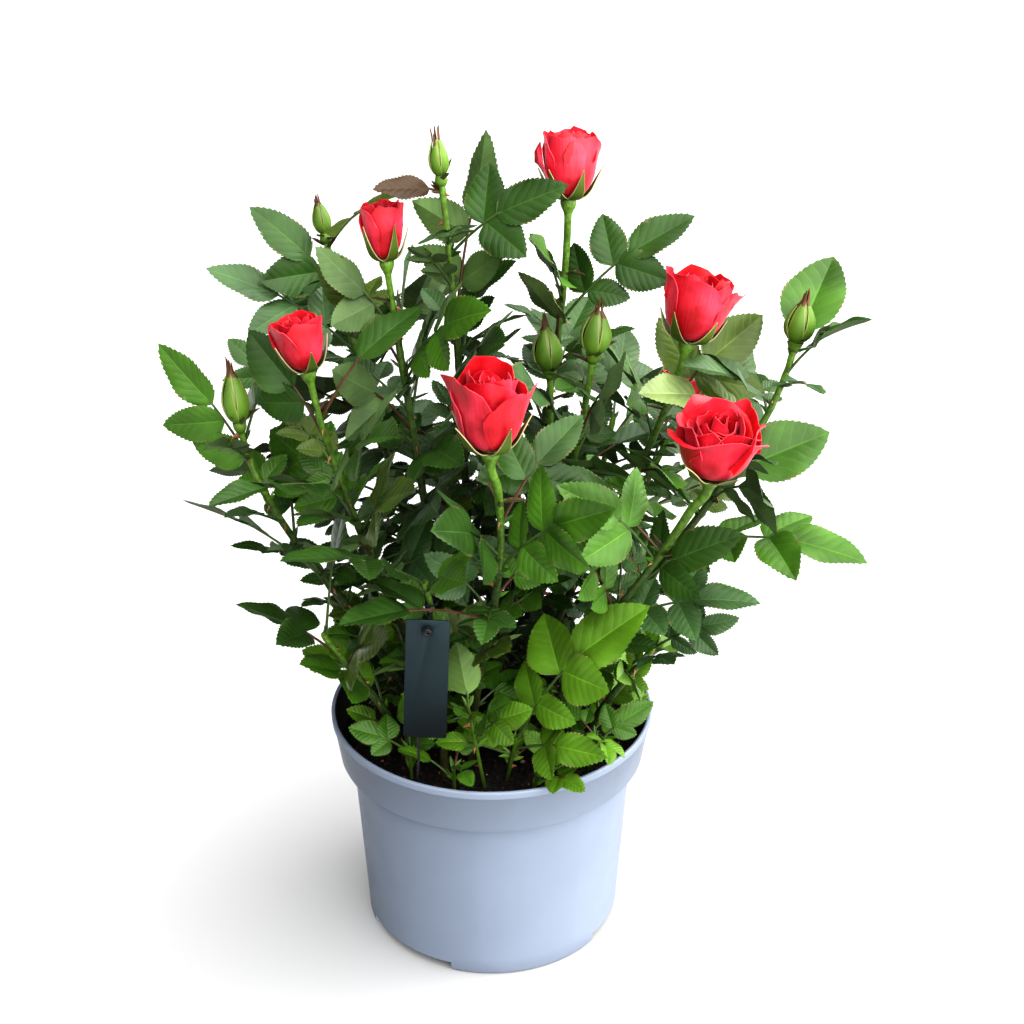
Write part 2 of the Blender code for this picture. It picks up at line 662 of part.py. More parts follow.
def make_cane(cane, foot, tip, top_thickness, finish):
    """The bare foot of a cane, cut level just above the soil."""
    path = cane_path(foot, tip, cane.lean, 0.0, cane.bare, CANE_STEPS)
    points, faces = tube(path, tapered(CANE_STEPS, FOOT_THICKNESS, top_thickness), CANE_SIDES)
    for point in points[:CANE_SIDES]:
        point.z = foot.z
    return solid("cane_" + cane.name, points, faces, finish)


def bloom_frame(base, axis, turn):
    """A matrix that stands a flower on its base, with its own +Z along its axis."""
    spin = Matrix.Rotation(math.radians(turn), 4, "Z")
    return Matrix.Translation(base) @ UP.rotation_difference(axis).to_matrix().to_4x4() @ spin


def placed(shape, frame):
    """A shape moved into a frame."""
    points, faces = shape
    return [frame @ p for p in points], faces


def sepals(radius, length, spread, width, frame):
    """The pointed sepals round a flower's base, each a little longer and lower than the last."""
    made = []
    for k in range(SEPALS):
        angle = math.tau * (k + SEPAL_TURN) / SEPALS
        drop = SEPAL_DROP + SEPAL_STEP * k
        made.append(sepal(radius, length * (1.0 + 0.04 * k), spread + 0.02 * k, width, drop, frame, angle))
    return made


def sepal(radius, length, spread, width, drop, frame, angle):
    """One pointed sepal, a spike with three sides, which leaves the base and stands or spreads."""
    out = Vector((math.cos(angle), math.sin(angle), 0.0))
    side = UP.cross(out)
    axis = (UP * (1.0 - spread) + out * (0.18 + spread)).normalized()
    base = out * (0.9 * radius) - UP * drop
    outer = axis.cross(side) * (0.22 * width)
    points = [base - side * (0.5 * width), base + side * (0.5 * width), base + outer, base + axis * length]
    return placed((points, [(0, 2, 1), (0, 3, 2), (2, 3, 1), (1, 3, 0)]), frame)


def bloom_shape(rose):
    """The bloom's solid: a cup whose rim runs out in petal tips, round a raised heart."""
    radius = 0.5 * rose.width
    flare = 1.0 + 0.30 * rose.opening
    # Each ring: radius and height at a petal's middle, and between two petals.
    rings = (
        ((0.34, 0.02), (0.34, 0.02)),
        ((0.80, 0.26), (0.72, 0.28)),
        ((0.96, 0.62), (0.84, 0.62)),
        ((0.92 * flare, 0.97), (0.80, 0.84)),
        ((0.60, 0.90), (0.54, 0.87)),
    )
    points = [Vector((0.0, 0.0, 0.0))]
    for on_petal, between in rings:
        for k in range(2 * PETALS):
            share, height = between if k % 2 else on_petal
            angle = math.pi * k / PETALS
            points.append(Vector((share * radius * math.cos(angle), share * radius * math.sin(angle),
                                  height * rose.height)))
    points.append(Vector((0.0, 0.0, 1.02 * rose.height)))
    around = 2 * PETALS
    faces = []
    for k in range(around):
        n = (k + 1) % around
        faces.append((0, 1 + n, 1 + k))
        for ring in range(len(rings) - 1):
            start = 1 + ring * around
            faces.append((start + k, start + n, start + around + n, start + around + k))
        faces.append((len(points) - 1, len(points) - 1 - around + k, len(points) - 1 - around + n))
    return points, faces


def make_rose(cane, foot, tip, finish, green):
    """A rose on its stalk: hip, bloom and sepals."""
    rose = cane.flower
    stalk = cane_path(foot, tip, cane.lean, cane.top, 1.0, 3)
    axis = (Vector((*cane.lean, 1.0)).normalized() + Vector((*rose.tilt, 0.0))).normalized()
    frame = bloom_frame(tip, axis, rose.turn)
    stalk[0] = stalk[0] + (stalk[1] - stalk[0]).normalized() * GAP
    stalk[2:] = [tip - axis * 0.0060, tip - axis * 0.0020, tip + axis * 0.0012]
    shapes = [tube(stalk, [STALK_THICKNESS] * 3 + [HIP_RADIUS] * 2, CANE_SIDES)]
    shapes += sepals(HIP_RADIUS, 0.72 * rose.height, 0.20 + 0.56 * rose.opening, 0.0050, frame)
    return joined("rose_" + cane.name, shapes, green, [(*placed(bloom_shape(rose), frame), finish)])


def bud_shapes(cane, tip):
    """A closed bud with long sepals, on the end of its stem."""
    bud = cane.flower
    axis = Vector((cane.lean[0], cane.lean[1], 1.0)).normalized()
    frame = bloom_frame(tip - axis * 0.0010, axis, 30.0)
    radius = 0.5 * bud.width
    body = (
        (0.0, -0.0010),
        (0.62 * radius, 0.0015),
        (radius, 0.36 * bud.length),
        (0.62 * radius, 0.72 * bud.length),
        (0.0, bud.length),
    )
    return [placed(turned(body, 5), frame)] + sepals(
        0.50 * radius, 1.28 * bud.length, 0.06 + 0.8 * bud.flare, 0.62 * radius, frame)


def tag_frame():
    """The matrix of the tag's card: its own Y is its normal, and its origin its top middle."""
    turn = Matrix.Rotation(math.radians(TAG_TURN), 4, "Y")
    tilt = Matrix.Rotation(math.radians(TAG_TILT), 4, "X")
    return Matrix.Translation(Vector(TAG_TOP)) @ tilt @ turn


def make_tag(finish):
    """The hang tag: a bare card with one hole."""
    half = 0.5 * TAG_WIDTH
    deep = 0.5 * TAG_THICKNESS
    frame = tag_frame()
    outline = ((-half, -TAG_HEIGHT), (half, -TAG_HEIGHT), (half, 0.0), (-half, 0.0))
    stand = Matrix.Rotation(math.radians(90.0), 4, "X")
    tag = solid("hang_tag", *placed(prism(outline, -deep, deep), frame @ stand), finish)
    sides = 12
    hole = [(TAG_HOLE_RADIUS * math.cos(math.tau * k / sides),
             TAG_HOLE_RADIUS * math.sin(math.tau * k / sides) - TAG_HOLE_DROP) for k in range(sides)]
    cut(tag, cutter_object("tag_hole", *placed(prism(hole, -0.002, 0.002), frame @ stand)))
    return tag


def on_cane_at_height(cane, height):
    """The point where a cane passes a height."""
    foot, tip = ends(cane)
    low, high = 0.0, 1.0
    for _ in range(24):
        middle = 0.5 * (low + high)
        if cane_point(foot, tip, cane.lean, middle).z < height:
            low = middle
        else:
            high = middle
    return cane_point(foot, tip, cane.lean, low)


def make_tag_cord(finish):
    """The cord: a knot before the hole, a strand up to a ring round the cane, and a tail behind."""
    frame = tag_frame()
    hole = frame @ Vector((0.0, 0.0, -TAG_HOLE_DROP))
    front = frame @ Vector((0.0, -0.5 * TAG_THICKNESS - GAP - KNOT_RADIUS * 0.8, -TAG_HOLE_DROP))
    behind = frame @ Vector((0.0, 0.0018, -TAG_HOLE_DROP + 0.0012))
    carrier = next(cane for cane in CANES if cane.name == "front_left")
    hook = on_cane_at_height(carrier, HOOK_HEIGHT)
    ring_radius = RING_ROOM + GAP + CORD_RADIUS
    ring_front = hook + Vector((0.0, -ring_radius, 0.0))
    midway = behind.lerp(ring_front, 0.5) + Vector((0.0, 0.0006, 0.0))
    strand = [front, hole, behind, midway, ring_front]
    tail = [ring_front] + [Vector(point) for point in TAIL]
    side = 0.8 * KNOT_RADIUS
    knot = ((0.0, -KNOT_RADIUS), (side, -0.5 * KNOT_RADIUS), (side, 0.5 * KNOT_RADIUS), (0.0, KNOT_RADIUS))
    radii = [CORD_RADIUS] * len(strand)
    shapes = [
        placed(turned(knot, 6), Matrix.Translation(front)),
        tube(strand, radii, CORD_SIDES),
        ring_shape(hook, ring_radius),
        tube(tail, radii, CORD_SIDES),
    ]
    return joined("tag_cord", shapes, finish)


def ring_shape(centre, radius):
    """A round cord ring that lies level round a cane."""
    points = []
    for k in range(RING_STEPS):
        angle = math.tau * k / RING_STEPS
        out = Vector((math.cos(angle), math.sin(angle), 0.0))
        for side in range(CORD_SIDES):
            around = math.tau * side / CORD_SIDES
            points.append(centre + out * (radius + CORD_RADIUS * math.cos(around))
                          + UP * (CORD_RADIUS * math.sin(around)))
    faces = []
    for k in range(RING_STEPS):
        here = k * CORD_SIDES
        there = (k + 1) % RING_STEPS * CORD_SIDES
        for side in range(CORD_SIDES):
            n = (side + 1) % CORD_SIDES
            faces.append((here + side, there + side, there + n, here + n))
    return points, faces


# Growing ------------------------------------------------------------------------------------------


def ends(cane):
    """A cane's foot, just above the soil, and its tip."""
    return Vector((*cane.foot, SOIL_TOP + GAP)), Vector(cane.tip)


def path_length(path):
    """The length of a path."""
    return sum((b - a).length for a, b in zip(path, path[1:]))


def grow_leaves(space, owner, point_at, leaves, bounded=False):
    """Adds leaves in turn, and returns their stalks and blades."""
    grown = []
    for k, leaf in enumerate(leaves):
        found = try_leaf(space, owner, point_at(leaf.at), leaf, f"{owner} {k}", bounded)
        if found:
            grown.append(found)
    return grown


def leaf_shapes(grown):
    """The solids of the leaves that were grown."""
    shapes = []
    for path, blades in grown:
        shapes.append(tube(path, tapered(2, LEAF_STALK * 1.25, LEAF_STALK * 0.8), 3))
        shapes.extend(blade_solid(blade, LEAF_THICKNESS) for blade in blades)
    return shapes


def clear_air(start, radius):
    """The room kept free in front of a flower or the tag, toward the light."""
    toward = Vector((0.0, -0.90, 0.43)).normalized()
    return tube([start + toward * radius, start + toward * (radius + CLEAR_AIR)], [radius, radius], 8)


def mesh_shape(thing):
    """Points and faces of an object's mesh with its modifiers."""
    graph = bpy.context.evaluated_depsgraph_get()
    mesh = thing.evaluated_get(graph).to_mesh()
    return [v.co.copy() for v in mesh.vertices], [tuple(p.vertices) for p in mesh.polygons]


def shoot_foot(shoot):
    """A shoot's foot, just above the soil."""
    return Vector((*shoot.foot, SOIL_TOP + GAP))


def shoot_stem(shoot):
    """The stem of a shoot, cut level just above the soil."""
    foot = shoot_foot(shoot)
    tip = Vector(shoot.tip)
    radii = tapered(2, SHOOT_FOOT_THICKNESS, SHOOT_TIP_THICKNESS)
    points, faces = tube([foot, foot.lerp(tip, 0.5), tip], radii, STEM_SIDES)
    for point in points[:STEM_SIDES]:
        point.z = foot.z
    return points, faces


def on_cane(cane):
    """The function that gives a cane's point at a share of its length."""
    foot, tip = ends(cane)
    return lambda share: cane_point(foot, tip, cane.lean, share)


def on_shoot(shoot):
    """The function that gives a shoot's point at a share of its length."""
    return lambda share: shoot_foot(shoot).lerp(Vector(shoot.tip), share)


def keep_air_clear(space):
    """Keeps leaves away from the front of each flower and of the tag."""
    for cane in CANES:
        if cane.flower:
            size = cane.flower.length if isinstance(cane.flower, Bud) else cane.flower.width
            space.add("air", *clear_air(Vector(cane.tip) + UP * (0.5 * size), 0.45 * size))
    for share in (0.15, 0.45, 0.75, 0.95):
        middle = tag_frame() @ Vector((0.0, 0.0, -share * TAG_HEIGHT))
        space.add("air", *clear_air(middle, 0.5 * TAG_WIDTH))


def grow_crown(space):
    """All leaves: the given ones first, then those of the growth rule. A list for each owner's name."""
    grown = {}
    for cane in CANES:
        grown[cane.name] = grow_leaves(space, "foliage_" + cane.name, on_cane(cane), cane.leaves)
    for shoot in SHOOTS:
        grown[shoot.name] = grow_leaves(space, "foliage_" + shoot.name, on_shoot(shoot), shoot.leaves)
    for cane in CANES:
        length = path_length(cane_path(*ends(cane), cane.lean, 0.0, 1.0, 12))
        leaves = rule_leaves(cane.name, length, cane.bare, cane.top)
        grown[cane.name] += grow_leaves(space, "foliage_" + cane.name, on_cane(cane), leaves, True)
    return grown


def build():
    """Makes every piece in turn."""
    clear_scene()
    bark = material("cane green", (0.16, 0.24, 0.05), 0.5)
    green = material("leaf green", (0.03, 0.12, 0.03), 0.4)
    young = material("young leaf green", (0.10, 0.30, 0.04), 0.45)
    red = material("rose red", (0.80, 0.02, 0.03), 0.5)
    fixed = [
        make_pot(material("pot grey", (0.42, 0.47, 0.58), 0.4)),
        make_soil(material("peat", (0.02, 0.014, 0.010), 0.9)),
        make_tag(material("slate card", (0.05, 0.08, 0.11), 0.5)),
        make_tag_cord(material("black cord", (0.02, 0.02, 0.025), 0.6)),
    ]
    space = Space()
    stems = {}
    buds = {}
    for cane in CANES:
        foot, tip = ends(cane)
        middle = FOOT_THICKNESS + (TIP_THICKNESS - FOOT_THICKNESS) * cane.bare
        fixed.append(make_cane(cane, foot, tip, middle, bark))
        if isinstance(cane.flower, Rose):
            fixed.append(make_rose(cane, foot, tip, red, bark))
        leafy = cane_path(foot, tip, cane.lean, cane.bare, cane.top, STEM_STEPS)
        leafy[0] = leafy[0] + (leafy[1] - leafy[0]).normalized() * GAP
        stems[cane.name] = tube(leafy, tapered(STEM_STEPS, middle, TIP_THICKNESS), STEM_SIDES)
        buds[cane.name] = bud_shapes(cane, tip) if isinstance(cane.flower, Bud) else []
    for shoot in SHOOTS:
        stems[shoot.name] = shoot_stem(shoot)
        buds[shoot.name] = []
    for piece in fixed:
        space.add(piece.name, *mesh_shape(piece))
    for name, stem in stems.items():
        space.add(f"foliage_{name} stem", *stem)
        for shape in buds[name]:
            space.add(f"foliage_{name} bud", *shape)
    keep_air_clear(space)
    for name, leaves in grow_crown(space).items():
        finish = young if name.endswith("shoot") else green
        joined("foliage_" + name, [stems[name]] + buds[name] + leaf_shapes(leaves), finish)


build()
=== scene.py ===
"""Dresses a miniature rose bush in its nursery pot, in metres with +Z up.

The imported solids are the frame. The crown grows again by the same rule as its solids, and is then
carried to finer twigs inside the same outline. Pot, peat, canes, thorns, leaves, roses, buds, tag and
cord each have an operator of their own.
"""

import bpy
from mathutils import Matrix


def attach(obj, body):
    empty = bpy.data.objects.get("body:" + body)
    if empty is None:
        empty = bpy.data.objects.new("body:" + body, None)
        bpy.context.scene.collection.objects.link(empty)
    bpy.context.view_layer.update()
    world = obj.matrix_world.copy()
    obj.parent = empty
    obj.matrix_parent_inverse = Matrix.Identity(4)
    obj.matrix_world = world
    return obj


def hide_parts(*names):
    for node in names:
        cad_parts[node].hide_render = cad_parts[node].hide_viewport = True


bl_info = {
    "name": "Potted rose bush",
    "version": (1, 0, 0),
    "blender": (4, 5, 0),
    "location": "View3D > Sidebar > Rose bush",
    "description": "Dresses the solids of a potted miniature rose with leaves, roses, bark and peat",
    "category": "Add Mesh",
}

import functools
import random
from collections import namedtuple
from math import cos, pi, radians, sin, tau

import bmesh
import bpy
import numpy as np
from mathutils import Matrix, Vector
from mathutils.bvhtree import BVHTree

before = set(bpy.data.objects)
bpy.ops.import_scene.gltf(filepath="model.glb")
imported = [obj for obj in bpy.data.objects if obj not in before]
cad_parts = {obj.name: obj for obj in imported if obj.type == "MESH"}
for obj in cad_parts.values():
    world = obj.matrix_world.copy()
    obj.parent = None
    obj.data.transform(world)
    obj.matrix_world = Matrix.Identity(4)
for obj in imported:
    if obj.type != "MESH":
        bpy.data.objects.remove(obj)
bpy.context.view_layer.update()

UP = Vector((0.0, 0.0, 1.0))
GAP = 0.0003

# Pot: a turned shell with a stepped collar, standing on three foot arcs and a hub.
POT_HEIGHT = 0.0963
RIM_RADIUS = 0.0650
COLLAR_FOOT_RADIUS = 0.0618
COLLAR_HEIGHT = 0.0206
BODY_TOP_RADIUS = 0.0570
BASE_RADIUS = 0.0524
WALL = 0.0016
FOOT_HEIGHT = 0.0040
FOOT_WIDTH = 0.0060
HUB_RADIUS = 0.0120
FEET = 3
NOTCH_ANGLE = 50.0
FIRST_NOTCH = -133.0
DRAIN_HOLES = 6
DRAIN_RADIUS = 0.0040
DRAIN_CIRCLE = 0.0330

# Soil: it fills the pot to just above the collar's foot.
SOIL_TOP = 0.0840

# Canes and twigs.
STEM_SIDES = 4
STEM_STEPS = 5
FOOT_THICKNESS = 0.0025
TIP_THICKNESS = 0.0015
STALK_THICKNESS = 0.0019
HIP_RADIUS = 0.0034
SEPAL_DROP = 0.0018
SEPAL_STEP = 0.0002
SHOOT_FOOT_THICKNESS = 0.0011
SHOOT_TIP_THICKNESS = 0.0009
RISE_SHARE = 0.36
FOOT_SPREAD = 0.14

SEPALS = 4
SEPAL_TURN = 0.13

# Leaves. A compound leaf has a terminal leaflet and one or two pairs on a three-sided stalk.
LEAF_SPACING = 0.0205
GOLDEN_ANGLE = 137.5
LEAF_STALK = 0.0009
ROOT_DEPTH = 0.0002
LEAF_WIDTH = 0.66
FACING = 0.9
LEAF_BOW = 0.07
LEAF_CLEARANCE = 0.0005
TERMINAL_SHARE = {1: 0.80, 3: 0.54, 5: 0.44}
PAIR_PLACES = {1: (), 3: (0.10,), 5: (0.09, 0.31)}
PAIR_SIZES = (0.94, 0.80)
PAIR_ANGLE = 62.0
PAIR_STAGGER = 0.02
FIRST_PAIR = 0.06
SHIFTS = (
    (0, 0), (10, 4), (-10, 4), (0, 12), (0, -12), (22, 6), (-22, 6), (36, -6), (-36, -6), (52, 8), (-52, 8),
)

# The crown's outline: how far leaves reach to the left and right at each level. A point's level is
# its height, raised behind the axis and lowered before it, so that the crown slopes down to the back.
CROWN_SLOPE = 0.47
CROWN_FRONT = -0.106
CROWN_BACK = 0.128
CROWN = (
    (0.078, -0.060, 0.063), (0.097, -0.065, 0.065), (0.120, -0.078, 0.068), (0.132, -0.091, 0.088),
    (0.144, -0.105, 0.106), (0.161, -0.100, 0.146), (0.170, -0.101, 0.130), (0.185, -0.112, 0.098),
    (0.199, -0.106, 0.110), (0.212, -0.110, 0.119), (0.226, -0.124, 0.122), (0.239, -0.120, 0.117),
    (0.251, -0.120, 0.136), (0.267, -0.104, 0.137), (0.280, -0.102, 0.091), (0.302, -0.080, 0.068),
    (0.311, -0.037, 0.041), (0.333, -0.017, 0.009),
)
CLEAR_AIR = 0.040

# Hang tag: a bare card on a cord round the short cane in front.
TAG_WIDTH = 0.0160
TAG_HEIGHT = 0.0475
TAG_THICKNESS = 0.0006
TAG_TOP = (-0.0220, -0.0560, 0.1652)
TAG_TILT = -5.0
TAG_TURN = 2.4
TAG_HOLE_RADIUS = 0.0014
TAG_HOLE_DROP = 0.0038
CORD_RADIUS = 0.0005
RING_ROOM = 0.0019
TAIL = ((-0.0250, -0.0505, 0.150), (-0.0275, -0.0515, 0.128), (-0.0270, -0.0520, 0.105),
        (-0.0285, -0.0530, 0.0870))
KNOT_RADIUS = 0.0019
HOOK_HEIGHT = 0.1690

Leaf = namedtuple("Leaf", "at heading rise reach leaflets roll", defaults=(0.0,))
Rose = namedtuple("Rose", "width height opening tilt turn")
Bud = namedtuple("Bud", "length width flare")
Cane = namedtuple("Cane", "name foot tip lean bare top flower leaves")
Shoot = namedtuple("Shoot", "name foot tip leaves")
Blade = namedtuple("Blade", "base axis normal length width fold curl")

CANES = (
    Cane("front", (-0.008, -0.022), (0.001, -0.075, 0.241), (-0.20, -0.10), 0.46, 0.86,
         Rose(0.031, 0.028, 0.55, (0.24, -0.20), 0.0),
         (Leaf(0.66, -43, 38, 0.066, 5, 20), Leaf(0.70, -118, 34, 0.056, 3),
          Leaf(0.80, 40, 40, 0.052, 3))),
    Cane("front_right", (0.020, -0.016), (0.076, -0.065, 0.227), (0.35, -0.15), 0.46, 0.76,
         Rose(0.033, 0.026, 0.85, (-0.24, -0.28), -20.0),
         (Leaf(0.72, -165, 66, 0.060, 3), Leaf(0.58, -22, 40, 0.054, 3), Leaf(0.52, -118, 48, 0.058, 5))),
    Cane("right", (0.031, 0.000), (0.113, 0.000, 0.252), (0.15, 0.00), 0.46, 0.99,
         Bud(0.016, 0.010, 0.05),
         (Leaf(0.96, 60, 50, 0.048, 1, -49), Leaf(0.92, -19, 44, 0.042, 3, 60),
          Leaf(0.80, -150, 24, 0.064, 5), Leaf(0.68, -47, 44, 0.056, 3), Leaf(0.50, -23, 9, 0.078, 5, 20))),
    Cane("mid_right", (0.015, 0.012), (0.073, 0.000, 0.252), (0.15, -0.10), 0.46, 0.86,
         Rose(0.027, 0.026, 0.50, (0.10, -0.15), 60.0),
         (Leaf(0.80, 20, 33, 0.060, 3), Leaf(0.76, -160, 58, 0.050, 3), Leaf(0.66, -75, 20, 0.056, 5))),
    Cane("high", (0.004, 0.024), (0.029, 0.020, 0.300), (0.00, 0.00), 0.46, 0.87,
         Rose(0.024, 0.025, 0.30, (0.00, -0.05), 0.0),
         (Leaf(0.78, 2, 40, 0.066, 5, 110), Leaf(0.82, -115, 50, 0.044, 3),
          Leaf(0.74, -90, 38, 0.054, 3))),
    Cane("peak", (-0.008, 0.014), (-0.017, 0.000, 0.314), (-0.10, 0.00), 0.46, 0.99,
         Bud(0.013, 0.006, 0.80),
         (Leaf(0.97, -161, 10, 0.026, 1, -30), Leaf(0.75, 62, 66, 0.074, 5, -40),
          Leaf(0.66, -60, 30, 0.058, 5))),
    Cane("upper_left", (-0.017, 0.004), (-0.037, 0.000, 0.283), (-0.10, 0.00), 0.44, 0.92,
         Rose(0.016, 0.021, 0.10, (0.02, -0.05), 10.0),
         (Leaf(0.84, -162, 52, 0.052, 3), Leaf(0.78, -30, 32, 0.066, 5), Leaf(0.82, 50, 60, 0.044, 3),
          Leaf(0.66, -140, 54, 0.054, 3, 30), Leaf(0.48, -84, 26, 0.058, 3),
          Leaf(0.60, -70, 22, 0.056, 3))),
    Cane("left", (-0.024, -0.012), (-0.064, -0.030, 0.252), (-0.15, 0.00), 0.46, 0.90,
         Rose(0.019, 0.020, 0.20, (-0.05, -0.15), 150.0),
         (Leaf(0.82, 156, 50, 0.054, 3), Leaf(0.60, -60, 40, 0.056, 3), Leaf(0.72, -140, 10, 0.060, 5))),
    Cane("far_left", (-0.031, -0.002), (-0.091, -0.020, 0.228), (-0.10, 0.00), 0.46, 0.99,
         Bud(0.020, 0.0085, 0.05),
         (Leaf(0.80, 168, 55, 0.068, 5, 30), Leaf(0.84, -117, 38, 0.050, 5),
          Leaf(0.50, 178, 34, 0.066, 5, 50), Leaf(0.94, 35, 42, 0.044, 3))),
    Cane("low_left", (-0.034, -0.022), (-0.062, -0.040, 0.150), (-0.50, -0.20), 0.30, 1.00, None,
         (Leaf(0.80, 169, 26, 0.050, 3), Leaf(0.50, -138, 40, 0.044, 3, -50),
          Leaf(0.75, -60, 40, 0.046, 3))),
    Cane("front_left", (-0.018, -0.034), (-0.023, -0.051, 0.178), (-0.20, -0.10), 0.46, 1.00, None,
         (Leaf(0.99, -150, 24, 0.062, 5, 40), Leaf(0.96, -70, 30, 0.050, 3))),
    Cane("centre", (0.000, -0.004), (0.022, 0.000, 0.241), (-0.10, 0.00), 0.46, 0.99,
         Bud(0.017, 0.010, 0.10),
         (Leaf(0.90, -105, 16, 0.062, 3), Leaf(0.70, -50, 24, 0.058, 5))),
    Cane("centre_right", (0.010, 0.000), (0.038, -0.010, 0.251), (0.10, 0.00), 0.46, 0.99,
         Bud(0.017, 0.010, 0.15),
         (Leaf(0.78, -44, 46, 0.052, 3), Leaf(0.68, -95, 28, 0.056, 3))),
    Cane("low_right", (0.036, -0.020), (0.062, -0.035, 0.142), (0.60, -0.20), 0.30, 1.00, None,
         (Leaf(0.97, -20, 30, 0.040, 5, 60), Leaf(0.70, -100, 30, 0.036, 3))),
    Cane("back_left", (-0.020, 0.020), (-0.064, 0.045, 0.280), (-0.20, 0.15), 0.46, 0.99,
         Bud(0.012, 0.006, 0.30),
         (Leaf(0.76, -174, 34, 0.068, 5, -90), Leaf(0.84, 178, 52, 0.056, 3, -150),
          Leaf(0.66, 100, 30, 0.066, 5))),
    Cane("back", (-0.002, 0.034), (0.000, 0.085, 0.180), (0.00, 0.30), 0.40, 0.88,
         Rose(0.028, 0.026, 0.60, (0.00, 0.35), 200.0),
         (Leaf(0.72, 20, 36, 0.062, 5), Leaf(0.60, 150, 30, 0.064, 5))),
    Cane("back_right", (0.022, 0.026), (0.078, 0.064, 0.200), (0.30, 0.20), 0.44, 0.88,
         Rose(0.024, 0.024, 0.35, (0.10, 0.15), 90.0),
         (Leaf(0.74, 60, 40, 0.062, 5), Leaf(0.58, 0, 24, 0.066, 5))),
    Cane("low_back_left", (-0.032, 0.018), (-0.085, 0.055, 0.205), (-0.30, 0.20), 0.40, 1.00, None,
         (Leaf(0.99, 140, 34, 0.042, 3), Leaf(0.90, 95, 30, 0.060, 5), Leaf(0.70, 195, 20, 0.050, 5))),
    Cane("low_back_right", (0.026, 0.040), (0.052, 0.088, 0.185), (0.20, 0.50), 0.34, 1.00, None,
         (Leaf(0.99, 80, 30, 0.056, 3), Leaf(0.88, 20, 34, 0.062, 5), Leaf(0.64, 110, 16, 0.062, 5))),
)

SHOOTS = (
    Shoot("front_shoot", (0.006, -0.036), (0.010, -0.046, 0.108),
          (Leaf(0.98, -31, 54, 0.085, 5, 10), Leaf(0.70, 40, 34, 0.040, 3))),
    Shoot("right_shoot", (0.036, -0.036), (0.042, -0.040, 0.106),
          (Leaf(0.98, -85, 10, 0.029, 3), Leaf(0.70, 10, 38, 0.030, 3))),
    Shoot("left_shoot", (-0.031, -0.036), (-0.031, -0.040, 0.098),
          (Leaf(0.98, 178, 25, 0.028, 3), Leaf(0.75, 120, 45, 0.028, 3))),
    Shoot("middle_shoot", (-0.002, -0.042), (-0.008, -0.052, 0.126),
          (Leaf(0.99, 120, 70, 0.026, 1, 180), Leaf(0.60, -30, 40, 0.034, 3))),
    Shoot("edge_shoot", (0.016, -0.046), (0.018, -0.048, 0.094),
          (Leaf(0.99, -55, 16, 0.032, 5), Leaf(0.80, 30, 40, 0.030, 3))),
    Shoot("rim_shoot", (-0.014, -0.045), (-0.014, -0.047, 0.096),
          (Leaf(0.99, -70, 14, 0.024, 3), Leaf(0.80, -160, 26, 0.026, 3))),
    Shoot("back_shoot", (0.004, 0.046), (0.004, 0.050, 0.104),
          (Leaf(0.99, 60, 24, 0.042, 5), Leaf(0.80, 140, 30, 0.040, 5))),
)

# Sizes that only the looks have.
SEPAL_WIDTH = 0.0062
SEPAL_ACROSS = (-1.0, -0.88, -0.5, 0.0, 0.5, 0.88, 1.0)
PETAL_ALONG = 12
PETAL_ACROSS = 13
PETAL_THICKNESS = 0.00032
SEPAL_THICKNESS = 0.00040
CANE_RING = 0.0026
CANE_ROUND = 10
STALK_ROUND = 6
POT_ROUND = 144
RACHIS = 0.00055
CANE_SLIMMING = 0.74
FINER_SPACING = 0.0062
FINER_REACHES = (0.024, 0.042)
SHOOT_SPACING = 0.0040
SHOOT_REACHES = (0.020, 0.034)
SHORTEST_SHOOT = 0.045
FOOT_SPACING = 0.0050
FOOT_REACHES = (0.018, 0.032)
FINER_FACING = 0.40
TEETH_ROWS = 8
SMALL_ROWS = 5
VEIN_PAIRS = 7.0
CANE_BURIED = 0.0040
SHOOT_BURIED = 0.0030
BRACT_SIZES = (0.0060, 0.0110)
STIPULE_LENGTH = 0.0062
STIPULE_WIDTH = 0.0021
BUD_TURN = 30.0
BUD_SEAT = 0.0010
PEAT_RINGS = 34
PEAT_SIDES = 120
CARD_CORNER = 0.0007
CARD_BEVEL = 0.00012
CORD_TWIST = 0.0022
TAIL_TWIST = 0.0034

# Colours that only the looks have, with what each belongs to.
LEAF_STALK_RED = (0.075, 0.034, 0.015)
LEAF_UNDERSIDE = (0.125, 0.175, 0.080)
LEAF_MARGIN = (0.160, 0.120, 0.050, 1.0)
# Painted highlight: the pinkish colour mixed into the petals in patches toward their rims.
PETAL_PAINTED_HIGHLIGHT = (0.90, 0.110, 0.190, 1.0)
SEPAL_SKINS = (("sepal green", (0.090, 0.135, 0.022), 0.45), ("sepal edge", (0.330, 0.290, 0.150), 0.5))
BUD_SKINS = (
    ("bud green", (0.105, 0.190, 0.026), 0.45), ("bud edge", (0.210, 0.250, 0.080), 0.5),
    ("bud heart", (0.230, 0.300, 0.090), 0.5), ("bud tip", (0.110, 0.050, 0.022), 0.5),
)
FLOOR_GREY = (0.42, 0.42, 0.42)

# Shades of the peat's crumbs: name, colour, how far apart they lie in spacings, and seed.
CRUMB_SHADES = (
    ("crumb dark", (0.009, 0.006, 0.004), 1.0, 0), ("crumb brown", (0.045, 0.022, 0.012), 2.3, 11),
    ("crumb pale", (0.22, 0.15, 0.09), 6.5, 23),
)

# Stage: where the sky is brightest, where the sun stands, and the camera's place, its fall and its lens.
SKY_TOWARD = (0.62, -0.45, 0.64)
SUN_TOWARD = (0.80, 0.20, 0.60)
SUN_WIDTH = 36.0
CAMERA_PLACE = (0.0083, -0.5948, 0.4639)
CAMERA_FALL = 25.39
CAMERA_LENS = 60.0

Sprig = namedtuple("Sprig", "owner root path blades finish")
Petal = namedtuple(
    "Petal", "turn half height rim point lip waist skew left right", defaults=(0.74, 0.05, 0, 0))

